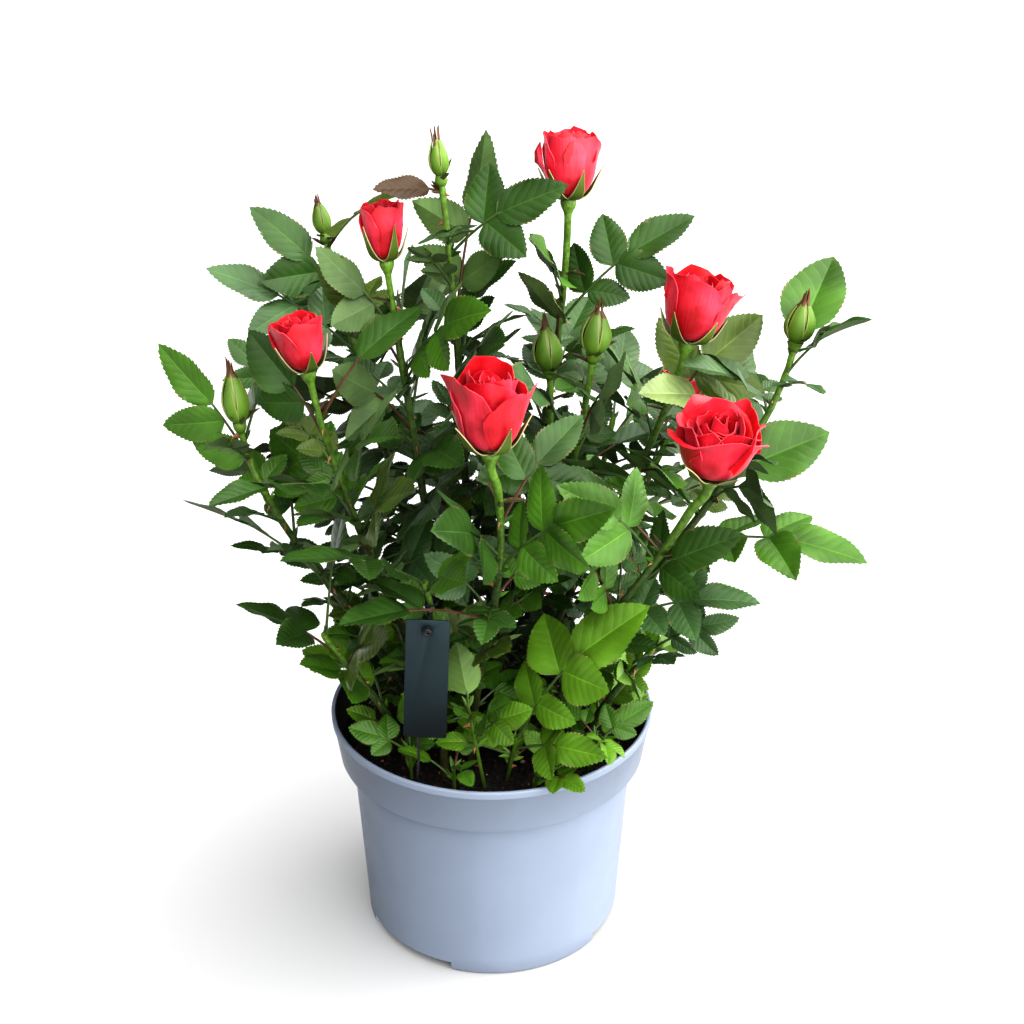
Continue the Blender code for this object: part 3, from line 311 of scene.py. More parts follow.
# Petals of the roses that have a look of their own, from the outermost in. Turns are the plant's.
PETALS_OF = {
    "front": (
        Petal(-42, 56, 0.80, 0.76, 0.25, 0.05, 0.74, -0.04, 0.0, 0.40),
        Petal(-140, 64, 0.94, 0.72, 0.25, 0.04, 0.72, 0.04, 0.46, 0.0),
        Petal(96, 70, 0.80, 0.66, 0.2, 0.04, 0.74), Petal(24, 50, 0.76, 0.72, 0.3, 0.06, 0.74),
        Petal(170, 50, 0.80, 0.70, 0.2, 0.05, 0.72), Petal(-94, 84, 0.96, 0.52, 0.0, 0.06, 0.66),
        Petal(92, 92, 1.04, 0.52, 0.0, 0.04, 0.60), Petal(-30, 84, 0.95, 0.42, 0.0, 0.04, 0.54),
        Petal(-160, 84, 0.97, 0.41, 0.0, 0.04, 0.52),
    ),
    "front_right": (
        Petal(-96, 90, 0.76, 0.72, -0.3, 0.20, 0.78, 0.0, 0.13, 0.06),
        Petal(-16, 58, 0.84, 0.70, 0.3, 0.18, 0.72, 0.0, 0.0, 0.06),
        Petal(124, 52, 1.00, 0.66, 0.6, 0.18, 0.68), Petal(44, 56, 0.97, 0.68, 0.6, 0.18, 0.68),
        Petal(190, 52, 0.90, 0.66, 0.4, 0.18, 0.68), Petal(-62, 74, 0.80, 0.46, 0.1, 0.22, 0.66),
        Petal(-150, 74, 0.84, 0.42, 0.1, 0.20, 0.64), Petal(80, 84, 0.95, 0.44, 0.2, 0.18, 0.62),
        Petal(10, 88, 0.90, 0.30, 0.1, 0.20, 0.54), Petal(-110, 100, 0.86, 0.24, 0.1, 0.18, 0.48),
    ),
    "mid_right": (
        Petal(-16, 40, 0.80, 0.86, 0.4, 0.08, 0.88, 0.04, 0.0, 0.60),
        Petal(-108, 60, 0.93, 0.80, 0.0, 0.09, 0.88), Petal(-50, 52, 0.88, 0.82, 0.1, 0.07, 0.88),
        Petal(178, 50, 0.98, 0.84, 0.0, 0.09, 0.86), Petal(84, 66, 0.98, 0.80, 0.1, 0.08, 0.84),
        Petal(30, 50, 0.95, 0.82, 0.3, 0.08, 0.84), Petal(-140, 70, 0.97, 0.68, 0.1, 0.08, 0.78),
        Petal(-20, 70, 0.95, 0.66, 0.1, 0.08, 0.76),
    ),
    "high": (
        Petal(190, 30, 0.78, 0.90, 0.8, 0.06, 0.80, 0.05, 0.24, 0.24),
        Petal(-42, 62, 0.90, 0.66, 0.0, 0.13, 0.84, 0.05, 0.0, 0.12),
        Petal(-122, 66, 0.93, 0.62, 0.0, 0.12, 0.82), Petal(30, 60, 0.92, 0.68, 0.1, 0.12, 0.80),
        Petal(100, 70, 1.00, 0.66, 0.1, 0.10, 0.78), Petal(172, 62, 0.96, 0.64, 0.1, 0.11, 0.76),
        Petal(-76, 80, 0.96, 0.46, 0.0, 0.11, 0.66), Petal(50, 80, 1.00, 0.44, 0.0, 0.10, 0.64),
    ),
}

# How far the axis of a dressed bloom leans from its solid's, to the right and back.
ROSE_LEAN = {
    "front": (-0.06, 0.26), "front_right": (0.02, 0.30), "mid_right": (-0.06, 0.36),
    "high": (0.02, 0.26), "upper_left": (0.0, 0.16), "left": (0.0, 0.16),
}

# Blooms that stand lower than their solid.
BLOOM_HEIGHT = {"back_right": 0.54}

# Leaves that hang otherwise than their solid's, within its reach: the mass and the leaf's number.
RESHAPED = {
    ("front_shoot", 0): Leaf(0.86, -12, 54, 0.082, 5, -40),
    ("front_shoot", 1): Leaf(0.72, -38, 30, 0.046, 3, 10),
    ("right", 3): Leaf(0.66, 14, 34, 0.046, 1, 35),
    ("right", 4): Leaf(0.50, -23, 6, 0.077, 5, 22),
    ("low_left", 0): Leaf(0.80, 171, 27, 0.049, 3, 45),
    ("front_right", 0): Leaf(0.72, -157, 44, 0.053, 3, -15),
}

# Leaves whose tint is known: the mass, the leaf's number and, for one that the rule adds, the word rule.
TINTS = {
    "bronze": (("peak", 0),),
    "deep": (("peak", 4, "rule"), ("left", 3, "rule"), ("front", 1), ("front", 2), ("right", 1),
             ("high", 0), ("centre_right", 1), ("upper_left", 0), ("left", 0)),
    # The next tint is painted light: a lighter green for leaves that face the light.
    "fresh": (("right", 0), ("right", 3), ("right", 4), ("mid_right", 1), ("high", 1), ("peak", 1),
              ("front_right", 0), ("front", 0), ("far_left", 0)),
    # The next tint is painted light: the yellowish green of leaves lit from behind.
    "olive": (("mid_right", 0), ("high", 2)),
    "pale": (("right", 2),),
    "teal": (("centre", 0), ("centre_right", 0)),
    "young": (("front_shoot", 0),),
}
TINT_SHARES = ((0.50, "deep"), (0.72, "teal"), (0.90, "fresh"), (0.97, "olive"), (1.0, "pale"))


# Properties -----------------------------------------------


def colour_property(name, description, value):
    """A colour that a user may change."""
    return bpy.props.FloatVectorProperty(
        name=name, description=description, subtype="COLOR", size=3, min=0.0, max=1.0, default=value)


def length_property(name, description, value):
    """A length that a user may change."""
    return bpy.props.FloatProperty(
        name=name, description=description, subtype="DISTANCE", unit="LENGTH", min=0.0, default=value)


class RoseBushColours(bpy.types.PropertyGroup):
    """The plain colours of the finishes."""

    petal: colour_property("Petal", "Scarlet inside the petals", (0.50, 0.003, 0.006))
    petal_back: colour_property("Petal back", "Rose red outside the petals", (0.44, 0.004, 0.012))
    petal_glow: colour_property("Petal glow", "Pink at a grazing angle", (1.0, 0.30, 0.42))
    deep: colour_property("Deep leaf", "Old leaves in the crown", (0.033, 0.076, 0.014))
    teal: colour_property("Teal leaf", "Bluish leaves in the middle", (0.053, 0.105, 0.036))
    # Painted light: a lighter green for leaves that face the light.
    fresh: colour_property("Fresh leaf", "Leaves that face the light", (0.057, 0.134, 0.015))
    young: colour_property("Young leaf", "Bright leaves low in front", (0.090, 0.184, 0.016))
    # Painted light: a yellowish green for leaves lit from behind.
    olive: colour_property("Olive leaf", "Leaves seen against the light", (0.078, 0.118, 0.022))
    pale: colour_property("Pale leaf", "Leaves turned over", (0.170, 0.225, 0.085))
    bronze: colour_property("Bronze leaf", "New growth at the tips", (0.050, 0.028, 0.011))
    stalk: colour_property("Stalk", "Flower stalks", (0.118, 0.225, 0.026))
    bark: colour_property("Bark", "Old cane at the foot", (0.058, 0.046, 0.020))
    cane: colour_property("Cane", "Green cane in the crown", (0.050, 0.085, 0.020))
    thorn: colour_property("Thorn", "Thorns", (0.330, 0.140, 0.070))
    pot: colour_property("Pot", "Lilac grey plastic", (0.195, 0.228, 0.288))
    # Painted shade: the inner wall is the same plastic, made near black for the shade inside the pot.
    pot_inside: colour_property("Pot inside", "Dark inner wall", (0.022, 0.022, 0.024))
    peat: colour_property("Peat", "Black brown peat", (0.009, 0.0055, 0.004))
    card: colour_property("Card", "Slate card", (0.012, 0.020, 0.023))
    cord: colour_property("Cord", "Black cord", (0.010, 0.011, 0.013))


class RoseBushSizes(bpy.types.PropertyGroup):
    """The small sizes of the looks."""

    leaf_thickness: length_property("Leaf thickness", "Thickness of a leaflet beside its rib", 0.00036)
    tooth: length_property("Leaf tooth", "How far a tooth stands out of a leaflet's edge", 0.00060)
    thorn_length: length_property("Thorn length", "Length of a full thorn", 0.0036)
    thorn_spacing: length_property("Thorn spacing", "Least distance between thorns", 0.0100)
    crumb: length_property("Crumb", "Size of a crumb of peat", 0.0016)
    crumb_spacing: length_property("Crumb spacing", "Least distance between crumbs of peat", 0.0022)
    seed: bpy.props.IntProperty(name="Seed", description="Seed of what is scattered", default=7, min=0)


def colours():
    """The colours in use."""
    return bpy.context.scene.rose_bush_colours


def sizes():
    """The small sizes in use."""
    return bpy.context.scene.rose_bush_sizes


# Growth rule ----------------------------------------------


def on_circle(radius, angle, x=0.0, y=0.0):
    """A point on a circle about (x, y)."""
    return x + radius * cos(angle), y + radius * sin(angle)


def turned(profile, sides):
    """Points and faces of a closed profile of (radius, height), from axis to axis, turned about Z."""
    points = []
    rings = []
    for radius, height in profile:
        if radius == 0.0:
            rings.append([len(points)] * sides)
            points.append(Vector((0.0, 0.0, height)))
            continue
        rings.append(list(range(len(points), len(points) + sides)))
        points += [Vector((*on_circle(radius, tau * k / sides), height)) for k in range(sides)]
    faces = []
    for low, high in zip(rings, rings[1:]):
        for k in range(sides):
            n = (k + 1) % sides
            faces.append(tuple(dict.fromkeys((low[k], low[n], high[n], high[k]))))
    return points, faces


def frames_along(path):
    """Each point of a path with two directions across it, which don't twist."""
    tangent = (path[1] - path[0]).normalized()
    across = tangent.orthogonal().normalized()
    for k, centre in enumerate(path):
        ahead = (path[min(k + 1, len(path) - 1)] - path[max(k - 1, 0)]).normalized()
        across = (tangent.rotation_difference(ahead) @ across).normalized()
        tangent = ahead
        yield centre, across, tangent.cross(across)


def tube(path, radii, sides):
    """Points and faces of a capped tube along a path, with no twist."""
    points = []
    for (centre, across, other), radius in zip(frames_along(path), radii):
        for side in range(sides):
            angle = tau * side / sides
            points.append(centre + radius * (cos(angle) * across + sin(angle) * other))
    faces = []
    for ring in range(len(path) - 1):
        for side in range(sides):
            a = ring * sides + side
            b = ring * sides + (side + 1) % sides
            faces.append((a, b, b + sides, a + sides))
    last = (len(path) - 1) * sides
    faces.append(tuple(reversed(range(sides))))
    faces.append(tuple(last + side for side in range(sides)))
    return points, faces


def blade_point(blade, along, across):
    """A point of a leaf blade: 0 to 1 along it, -1 to 1 across it. It folds up and curls down."""
    side = blade.normal.cross(blade.axis)
    half = 0.5 * blade.width
    lift = blade.fold * abs(across) * half - blade.curl * blade.length * along * along
    return (blade.base + blade.axis * (along * blade.length) + side * (across * half)
            + blade.normal * lift)


def blade_hull(blade, clearance):
    """The room a finished leaflet needs: its full oval outline, with clearance on both sides."""
    rim = [(-0.02, 0.0), (0.16, -0.72), (0.46, -1.06), (0.78, -0.70), (1.04, 0.0),
           (0.78, 0.70), (0.46, 1.06), (0.16, 0.72)]
    count = len(rim)
    points = []
    for level in (clearance, -clearance):
        points.extend(blade_point(blade, along, across) + blade.normal * level for along, across in rim)
    for level in (clearance, -clearance):
        points.append(blade_point(blade, 0.46, 0.0) + blade.normal * level)
    faces = []
    for k in range(count):
        n = (k + 1) % count
        faces.append((k, n, 2 * count))
        faces.append((count + n, count + k, 2 * count + 1))
        faces.append((n, k, count + k, count + n))
    return points, faces


def cane_point(foot, tip, lean, share):
    """A point on a cane's curve: upright at its foot, and leaning as it ends."""
    height = tip.z - foot.z
    reach = Vector((tip.x - foot.x, tip.y - foot.y, 0.0))
    rising = foot + UP * (RISE_SHARE * height) + reach * FOOT_SPREAD
    ending = tip - Vector((*lean, 1.0)).normalized() * (RISE_SHARE * height)
    rest = 1.0 - share
    return (foot * rest ** 3 + rising * (3.0 * rest * rest * share)
            + ending * (3.0 * rest * share * share) + tip * share ** 3)


def cane_path(foot, tip, lean, start, end, steps):
    """Points along part of a cane's curve."""
    return [cane_point(foot, tip, lean, start + (end - start) * k / steps) for k in range(steps + 1)]


def tapered(steps, first, last):
    """Radii that run evenly from the first to the last."""
    return [first + (last - first) * k / steps for k in range(steps + 1)]


def direction(heading, rise):
    """The unit vector of a compass heading from +X and a rise above level, in degrees."""
    flat = cos(radians(rise))
    return Vector((flat * cos(radians(heading)), flat * sin(radians(heading)),
                   sin(radians(rise))))


def leaf_plan(root, leaf, seed, outward_share=FACING):
    """The stalk's path and the blades of one compound leaf that starts at root."""
    chance = random.Random(seed)
    chord = direction(leaf.heading, leaf.rise)
    outward = direction(leaf.heading, 0.0)
    bow = (UP - chord * UP.dot(chord)) if abs(chord.z) < 0.94 else (-outward)
    bow = (bow - chord * bow.dot(chord)).normalized()
    away = Vector((root.x, root.y, 0.0)) + outward * (0.5 * leaf.reach)
    facing = UP + away.normalized() * outward_share
    facing = (facing - chord * facing.dot(chord)).normalized()
    face = Matrix.Rotation(radians(leaf.roll), 3, chord) @ facing

    def on_stalk(share):
        rise = LEAF_BOW * leaf.reach * 4.0 * share * (1.0 - share)
        return root + chord * (leaf.reach * share) + bow * rise

    terminal = TERMINAL_SHARE[leaf.leaflets]
    end = 1.0 - terminal
    path = [on_stalk(end * k / 2) for k in range(3)]
    length = terminal * leaf.reach
    blades = []

    def add(share, turn, size):
        ahead = (on_stalk(share + 0.05) - on_stalk(share - 0.05)).normalized()
        if turn == 0.0:
            ahead = (root + chord * leaf.reach - on_stalk(share)).normalized()
        flat = (face - ahead * face.dot(ahead)).normalized()
        axis = Matrix.Rotation(radians(turn), 3, flat) @ ahead
        tilt = Matrix.Rotation(radians(chance.uniform(-16.0, 16.0)), 3, axis)
        droop = chance.uniform(-0.10, 0.12) if turn else 0.0
        axis = (axis - flat * droop).normalized()
        normal = tilt @ (flat - axis * flat.dot(axis)).normalized()
        width = size * LEAF_WIDTH * chance.uniform(0.92, 1.08)
        fold = chance.uniform(0.12, 0.42)
        curl = chance.uniform(0.02, 0.14)
        blades.append(Blade(on_stalk(share) - axis * ROOT_DEPTH, axis, normal, size, width, fold, curl))

    add(end, 0.0, length)
    for place, scale in zip(PAIR_PLACES[leaf.leaflets], PAIR_SIZES):
        for side, stagger in ((1.0, PAIR_STAGGER), (-1.0, 0.0)):
            angle = side * (PAIR_ANGLE + chance.uniform(-8.0, 8.0))
            size = length * scale * chance.uniform(0.92, 1.05)
            add(max(end - place - stagger, FIRST_PAIR), angle, size)
    return path, blades


def box_of(points):
    """The low and high corners of the box round points."""
    return ([min(p[axis] for p in points) for axis in range(3)],
            [max(p[axis] for p in points) for axis in range(3)])


class Space:
    """What has been placed so far, so that new leaves keep clear of it."""

    def __init__(self):
        self.taken = []

    def add(self, owner, points, faces):
        """Records one shape, under the name of the node that owns it."""
        low, high = box_of(points)
        self.taken.append((owner, low, high, BVHTree.FromPolygons([tuple(p) for p in points], faces)))

    def clashes(self, points, faces, spared):
        """Whether a shape meets anything that isn't spared."""
        low, high = box_of(points)
        tree = None
        for owner, other_low, other_high, other in self.taken:
            if owner in spared:
                continue
            if any(low[k] > other_high[k] or high[k] < other_low[k] for k in range(3)):
                continue
            if tree is None:
                tree = BVHTree.FromPolygons([tuple(p) for p in points], faces)
            if tree.overlap(other):
                return True
        return False


def in_crown(point):
    """Whether a point lies inside the crown's outline."""
    if not CROWN_FRONT < point.y < CROWN_BACK:
        return False
    level = point.z + CROWN_SLOPE * point.y
    for (low, low_left, low_right), (high, high_left, high_right) in zip(CROWN, CROWN[1:]):
        if low <= level <= high:
            share = (level - low) / (high - low)
            left = low_left + (high_left - low_left) * share
            return left <= point.x <= low_right + (high_right - low_right) * share
    return False


def try_leaf(space, owner, root, leaf, seed, bounded, outward_share):
    """Places a leaf in the first free variant, or the one that loses fewest leaflets, or nowhere.

    A bounded leaf keeps only the leaflets that end inside the crown's outline. The terminal leaflet
    is always kept.
    """
    enough = leaf.leaflets if bounded else (leaf.leaflets + 1) // 2
    best = None
    for turn, lift in SHIFTS:
        tried = leaf._replace(heading=leaf.heading + turn, rise=min(leaf.rise + lift, 78.0))
        path, blades = leaf_plan(root, tried, seed, outward_share)
        room = tube(path, [LEAF_STALK + LEAF_CLEARANCE] * len(path), 4)
        if space.clashes(*room, (owner + " stem", owner + " bud", owner.replace("foliage_", "cane_"))):
            continue
        kept = [b for b in blades if (not bounded or in_crown(b.base + b.axis * b.length))
                and not space.clashes(*blade_hull(b, LEAF_CLEARANCE), ())]
        if not kept or kept[0] is not blades[0]:
            continue
        if best is None or len(kept) > len(best[1]):
            best = (path, kept)
        if len(kept) >= enough:
            break
    if best is None or len(best[1]) * 3 < leaf.leaflets:
        return None
    path, kept = best
    space.add(owner, *tube(path, [LEAF_STALK] * len(path), 4))
    for blade in kept:
        space.add(owner, *blade_hull(blade, LEAF_CLEARANCE))
    return best


def rule_leaves(name, length, first, last):
    """Leaves that the growth rule puts along a stem, by the golden angle."""
    chance = random.Random(name)
    count = max(2, round(length * (last - first) / LEAF_SPACING))
    heading = chance.uniform(0.0, 360.0)
    leaves = []
    for k in range(count):
        share = k / (count - 1)
        at = first + (last - first) * (0.06 + 0.90 * share)
        rise = 12.0 + 34.0 * share + chance.uniform(-8.0, 8.0)
        leaflets = 5 if share < 0.75 else 3
        reach = (0.066 if leaflets == 5 else 0.056) * chance.uniform(0.88, 1.08)
        leaves.append(Leaf(at, heading, rise, reach, leaflets, chance.uniform(-15.0, 15.0)))
        heading += GOLDEN_ANGLE + chance.uniform(-12.0, 12.0)
    return leaves


def bloom_frame(base, axis, turn):
    """A matrix that stands a flower on its base, with its own +Z along its axis."""
    spin = Matrix.Rotation(radians(turn), 4, "Z")
    return Matrix.Translation(base) @ UP.rotation_difference(axis).to_matrix().to_4x4() @ spin


def placed(shape, frame):
    """A shape moved into a frame."""
    points, faces = shape
    return [frame @ p for p in points], faces


def sepals(radius, length, spread, width, frame):
    """Three-sided spikes round a bud's base, each a little longer and lower than the last."""
    made = []
    for k in range(SEPALS):
        angle = tau * (k + SEPAL_TURN) / SEPALS
        out = Vector((*on_circle(1.0, angle), 0.0))
        side = UP.cross(out)
        open_by = spread + 0.02 * k
        axis = (UP * (1.0 - open_by) + out * (0.18 + open_by)).normalized()
        base = out * (0.9 * radius) - UP * (SEPAL_DROP + SEPAL_STEP * k)
        outer = axis.cross(side) * (0.22 * width)
        tip = base + axis * (length * (1.0 + 0.04 * k))
        points = [base - side * (0.5 * width), base + side * (0.5 * width), base + outer, tip]
        made.append(placed((points, [(0, 2, 1), (0, 3, 2), (2, 3, 1), (1, 3, 0)]), frame))
    return made


def bud_frame(cane):
    """The frame of the bud on a cane's tip."""
    axis = Vector((*cane.lean, 1.0)).normalized()
    return bloom_frame(Vector(cane.tip) - axis * BUD_SEAT, axis, BUD_TURN)


def bud_shapes(cane):
    """A closed bud with long sepals, on the end of its stem."""
    bud = cane.flower
    frame = bud_frame(cane)
    radius = 0.5 * bud.width
    body = (
        (0.0, -0.0010),
        (0.62 * radius, 0.0015),
        (radius, 0.36 * bud.length),
        (0.62 * radius, 0.72 * bud.length),
        (0.0, bud.length),
    )
    return [placed(turned(body, 5), frame)] + sepals(
        0.50 * radius, 1.28 * bud.length, 0.06 + 0.8 * bud.flare, 0.62 * radius, frame)


def tag_frame():
    """The matrix of the tag's card: its own Y is its normal, and its origin its top middle."""
    turn = Matrix.Rotation(radians(TAG_TURN), 4, "Y")
    tilt = Matrix.Rotation(radians(TAG_TILT), 4, "X")
    return Matrix.Translation(Vector(TAG_TOP)) @ tilt @ turn


def on_cane_at_height(cane, height):
    """The point where a cane passes a height."""
    foot, tip = ends(cane)
    low, high = 0.0, 1.0
    for _ in range(24):
        middle = 0.5 * (low + high)
        if cane_point(foot, tip, cane.lean, middle).z < height:
            low = middle
        else:
            high = middle
    return cane_point(foot, tip, cane.lean, low)


def ends(cane):
    """A cane's foot, just above the soil, and its tip."""
    return Vector((*cane.foot, SOIL_TOP + GAP)), Vector(cane.tip)


def path_length(path):
    """The length of a path."""
    return sum((b - a).length for a, b in zip(path, path[1:]))


def clear_air(start, radius):
    """The room kept free in front of a flower or the tag, toward the light."""
    toward = Vector((0.0, -0.90, 0.43)).normalized()
    return tube([start + toward * radius, start + toward * (radius + CLEAR_AIR)], [radius, radius], 8)


def shoot_foot(shoot):
    """A shoot's foot, just above the soil."""
    return Vector((*shoot.foot, SOIL_TOP + GAP))


def shoot_stem(shoot):
    """The stem of a shoot, cut level just above the soil."""
    foot = shoot_foot(shoot)
    tip = Vector(shoot.tip)
    radii = tapered(2, SHOOT_FOOT_THICKNESS, SHOOT_TIP_THICKNESS)
    points, faces = tube([foot, foot.lerp(tip, 0.5), tip], radii, STEM_SIDES)
    for point in points[:STEM_SIDES]:
        point.z = foot.z
    return points, faces


def on_cane(cane):
    """The function that gives a cane's point at a share of its length."""
    foot, tip = ends(cane)
    return lambda share: cane_point(foot, tip, cane.lean, share)


def on_shoot(shoot):
    """The function that gives a shoot's point at a share of its length."""
    return lambda share: shoot_foot(shoot).lerp(Vector(shoot.tip), share)


def keep_air_clear(space):
    """Keeps leaves away from the front of each flower and of the tag."""
    for cane in CANES:
        if cane.flower:
            size = cane.flower.length if isinstance(cane.flower, Bud) else cane.flower.width
            space.add("air", *clear_air(Vector(cane.tip) + UP * (0.5 * size), 0.45 * size))
    for share in (0.15, 0.45, 0.75, 0.95):
        middle = tag_frame() @ Vector((0.0, 0.0, -share * TAG_HEIGHT))
        space.add("air", *clear_air(middle, 0.5 * TAG_WIDTH))


def rule_space():
    """What the crown grows round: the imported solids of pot, peat, tag, cord, canes and roses."""
    space = Space()
    for name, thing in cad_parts.items():
        if name.startswith("foliage_"):
            continue
        mesh = thing.data
        space.add(name, [v.co.copy() for v in mesh.vertices], [tuple(p.vertices) for p in mesh.polygons])
    for cane in CANES:
        foot, tip = ends(cane)
        middle = FOOT_THICKNESS + (TIP_THICKNESS - FOOT_THICKNESS) * cane.bare
        leafy = cane_path(foot, tip, cane.lean, cane.bare, cane.top, STEM_STEPS)
        leafy[0] = leafy[0] + (leafy[1] - leafy[0]).normalized() * GAP
        radii = tapered(STEM_STEPS, middle, TIP_THICKNESS)
        space.add(f"foliage_{cane.name} stem", *tube(leafy, radii, STEM_SIDES))
        if isinstance(cane.flower, Bud):
            for shape in bud_shapes(cane):
                space.add(f"foliage_{cane.name} bud", *shape)
    for shoot in SHOOTS:
        space.add(f"foliage_{shoot.name} stem", *shoot_stem(shoot))
    keep_air_clear(space)
    return space


def dealt_finish(name, place, given, root):
    """The tint of a leaf, by its place and a seeded chance."""
    key = (name, place) if given else (name, place, "rule")
    for tint, leaves in TINTS.items():
        if key in leaves:
            return tint
    chance = random.Random(f"tint {name} {given} {place}").random()
    # Shoots and low leaves in front take the young tint or the lighter tint that is painted light.
    if name.endswith("shoot"):
        return "young" if chance < 0.72 else "fresh"
    if root.z < 0.130 and root.y < -0.01:
        return "fresh" if chance < 0.45 else "young"
    return next(tint for most, tint in TINT_SHARES if chance < most)


def sprigs_from(space, name, point_at, leaves, bounded, outward_share=FACING):
    """Leaves grown in turn on one stem."""
    grown = []
    owner = "foliage_" + name
    for place, leaf in enumerate(leaves):
        if not bounded:
            leaf = RESHAPED.get((name, place), leaf)
        root = point_at(leaf.at)
        found = try_leaf(space, owner, root, leaf, f"{owner} {place}", bounded, outward_share)
        if found:
            grown.append(Sprig(name, root, *found, dealt_finish(name, place, not bounded, root)))
    return grown


def finer_leaves(name, length, first, last, spacing, reaches):
    """The small leaves of a finer round of the rule, between the others."""
    chance = random.Random("finer " + name)
    count = max(3, round(length * (last - first) / spacing))
    heading = chance.uniform(0.0, 360.0)
    leaves = []
    for k in range(count):
        at = first + (last - first) * ((k + chance.uniform(0.2, 0.8)) / count)
        reach = chance.uniform(*reaches)
        rise = chance.uniform(0.0, 50.0)
        roll = chance.uniform(-25.0, 25.0)
        leaves.append(Leaf(at, heading, rise, reach, 3 if reach < 0.030 else 5, roll))
        heading += GOLDEN_ANGLE + chance.uniform(-20.0, 20.0)
    return leaves


@functools.lru_cache(maxsize=1)
def grown_bush():
    """Every leaf of the crown: the rule's own, then those of its finer rounds."""
    space = rule_space()
    sprigs = []
    for stems, point_on in ((CANES, on_cane), (SHOOTS, on_shoot)):
        for stem in stems:
            sprigs += sprigs_from(space, stem.name, point_on(stem), stem.leaves, False)
    lengths = {cane.name: path_length(cane_path(*ends(cane), cane.lean, 0.0, 1.0, 12)) for cane in CANES}
    for cane in CANES:
        leaves = rule_leaves(cane.name, lengths[cane.name], cane.bare, cane.top)
        sprigs += sprigs_from(space, cane.name, on_cane(cane), leaves, True)
    rounds = []
    for shoot in SHOOTS:
        length = max((Vector(shoot.tip) - shoot_foot(shoot)).length, SHORTEST_SHOOT)
        leaves = finer_leaves(shoot.name, length, 0.25, 1.0, SHOOT_SPACING, SHOOT_REACHES)
        rounds.append((shoot, on_shoot, leaves))
    for cane in CANES:
        length = lengths[cane.name]
        leaves = finer_leaves("foot " + cane.name, length, 0.04, 0.44, FOOT_SPACING, FOOT_REACHES)
        rounds.append((cane, on_cane, leaves))
    for cane in CANES:
        length = lengths[cane.name]
        leaves = finer_leaves(cane.name, length, 0.40, cane.top - 0.08, FINER_SPACING, FINER_REACHES)
        rounds.append((cane, on_cane, leaves))
    finer = []
    for stem, point_on, leaves in rounds:
        finer += sprigs_from(space, stem.name, point_on(stem), leaves, True, FINER_FACING)
    return sprigs, finer


# Meshes ---------------------------------------------------


class Mould:
    """Points and faces gathered for one piece. A point has its place on the surface, a face its finish."""

    def __init__(self):
        self.points = []
        self.places = []
        self.faces = []
        self.finishes = []
        self.count = 0

    def add(self, points, faces, finish=0, places=None):
        """Adds a shape. Its finish is one number, or one for each face."""
        points = as_array(points)
        start = self.count
        self.points.append(points)
        self.places.append(np.zeros((len(points), 2)) if places is None else places)
        self.faces.extend([tuple(start + k for k in face) for face in faces])
        self.finishes.extend([finish] * len(faces) if isinstance(finish, int) else finish)
        self.count += len(points)

    def add_sheet(self, grid, thickness, frame, finish_at):
        """Adds a thin closed sheet on a grid of points.

        A face's finish comes from its row, whether it is at the long edges, and its side.
        """
        points, faces, sides, places = shell(grid, thickness)
        rows, columns, _ = grid.shape
        finishes = []
        for face, side in zip(faces, sides):
            row = min(index % (rows * columns) // columns for index in face)
            column = min(index % columns for index in face)
            finishes.append(finish_at(row, side == 2 or column in (0, columns - 2), side))
        self.add(moved(points, frame), faces, finishes, places)

    def piece(self, name, materials, slot, nodes, crease=50.0):
        """The finished piece, which rides on the plant and stands for its solids."""
        piece = object_from(name, np.concatenate(self.points).tolist(), self.faces, materials)
        mesh = piece.data
        mesh.polygons.foreach_set("material_index", np.array(self.finishes, dtype=np.int32))
        corners = np.empty(len(mesh.loops), dtype=np.int32)
        mesh.loops.foreach_get("vertex_index", corners)
        layer = mesh.uv_layers.new(name="Place")
        layer.data.foreach_set("uv", np.concatenate(self.places)[corners].astype(np.float32).ravel())
        smooth(mesh, crease)
        return hang(piece, nodes)


def as_array(points):
    """Points as rows of an array."""
    return points if isinstance(points, np.ndarray) else np.array([tuple(p) for p in points])


def object_from(name, points, faces, materials=()):
    """An object in the scene from points and faces."""
    mesh = bpy.data.meshes.new(name)
    mesh.from_pydata([tuple(p) for p in points], [], faces)
    for material in materials:
        mesh.materials.append(material)
    return in_scene(name, mesh)


def in_scene(name, data):
    """A new object in the scene for a mesh, a light or a camera."""
    made = bpy.data.objects.new(name, data)
    bpy.context.scene.collection.objects.link(made)
    return made


def smooth(mesh, crease):
    """Shades a mesh smooth, but for edges sharper than the crease in degrees."""
    mesh.shade_smooth()
    mesh.set_sharp_from_angle(angle=radians(crease))


def hang(piece, nodes):
    """Lets a finished piece ride on the plant and stand for its solids."""
    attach(piece, "root")
    if nodes:
        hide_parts(*nodes)
    return piece


def named(start):
    """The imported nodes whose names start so."""
    return sorted(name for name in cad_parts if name.startswith(start))


def runs(path):
    """How far along a path each of its points is."""
    return np.concatenate([[0.0], np.cumsum([(b - a).length for a, b in zip(path, path[1:])])])


def round_tube(path, radii, sides):
    """A capped tube as arrays, with places: how far round and how far along each point is."""
    points, faces = tube(path, radii, sides)
    places = np.array([(side / sides, run) for run in runs(path) for side in range(sides)])
    return as_array(points), faces, places


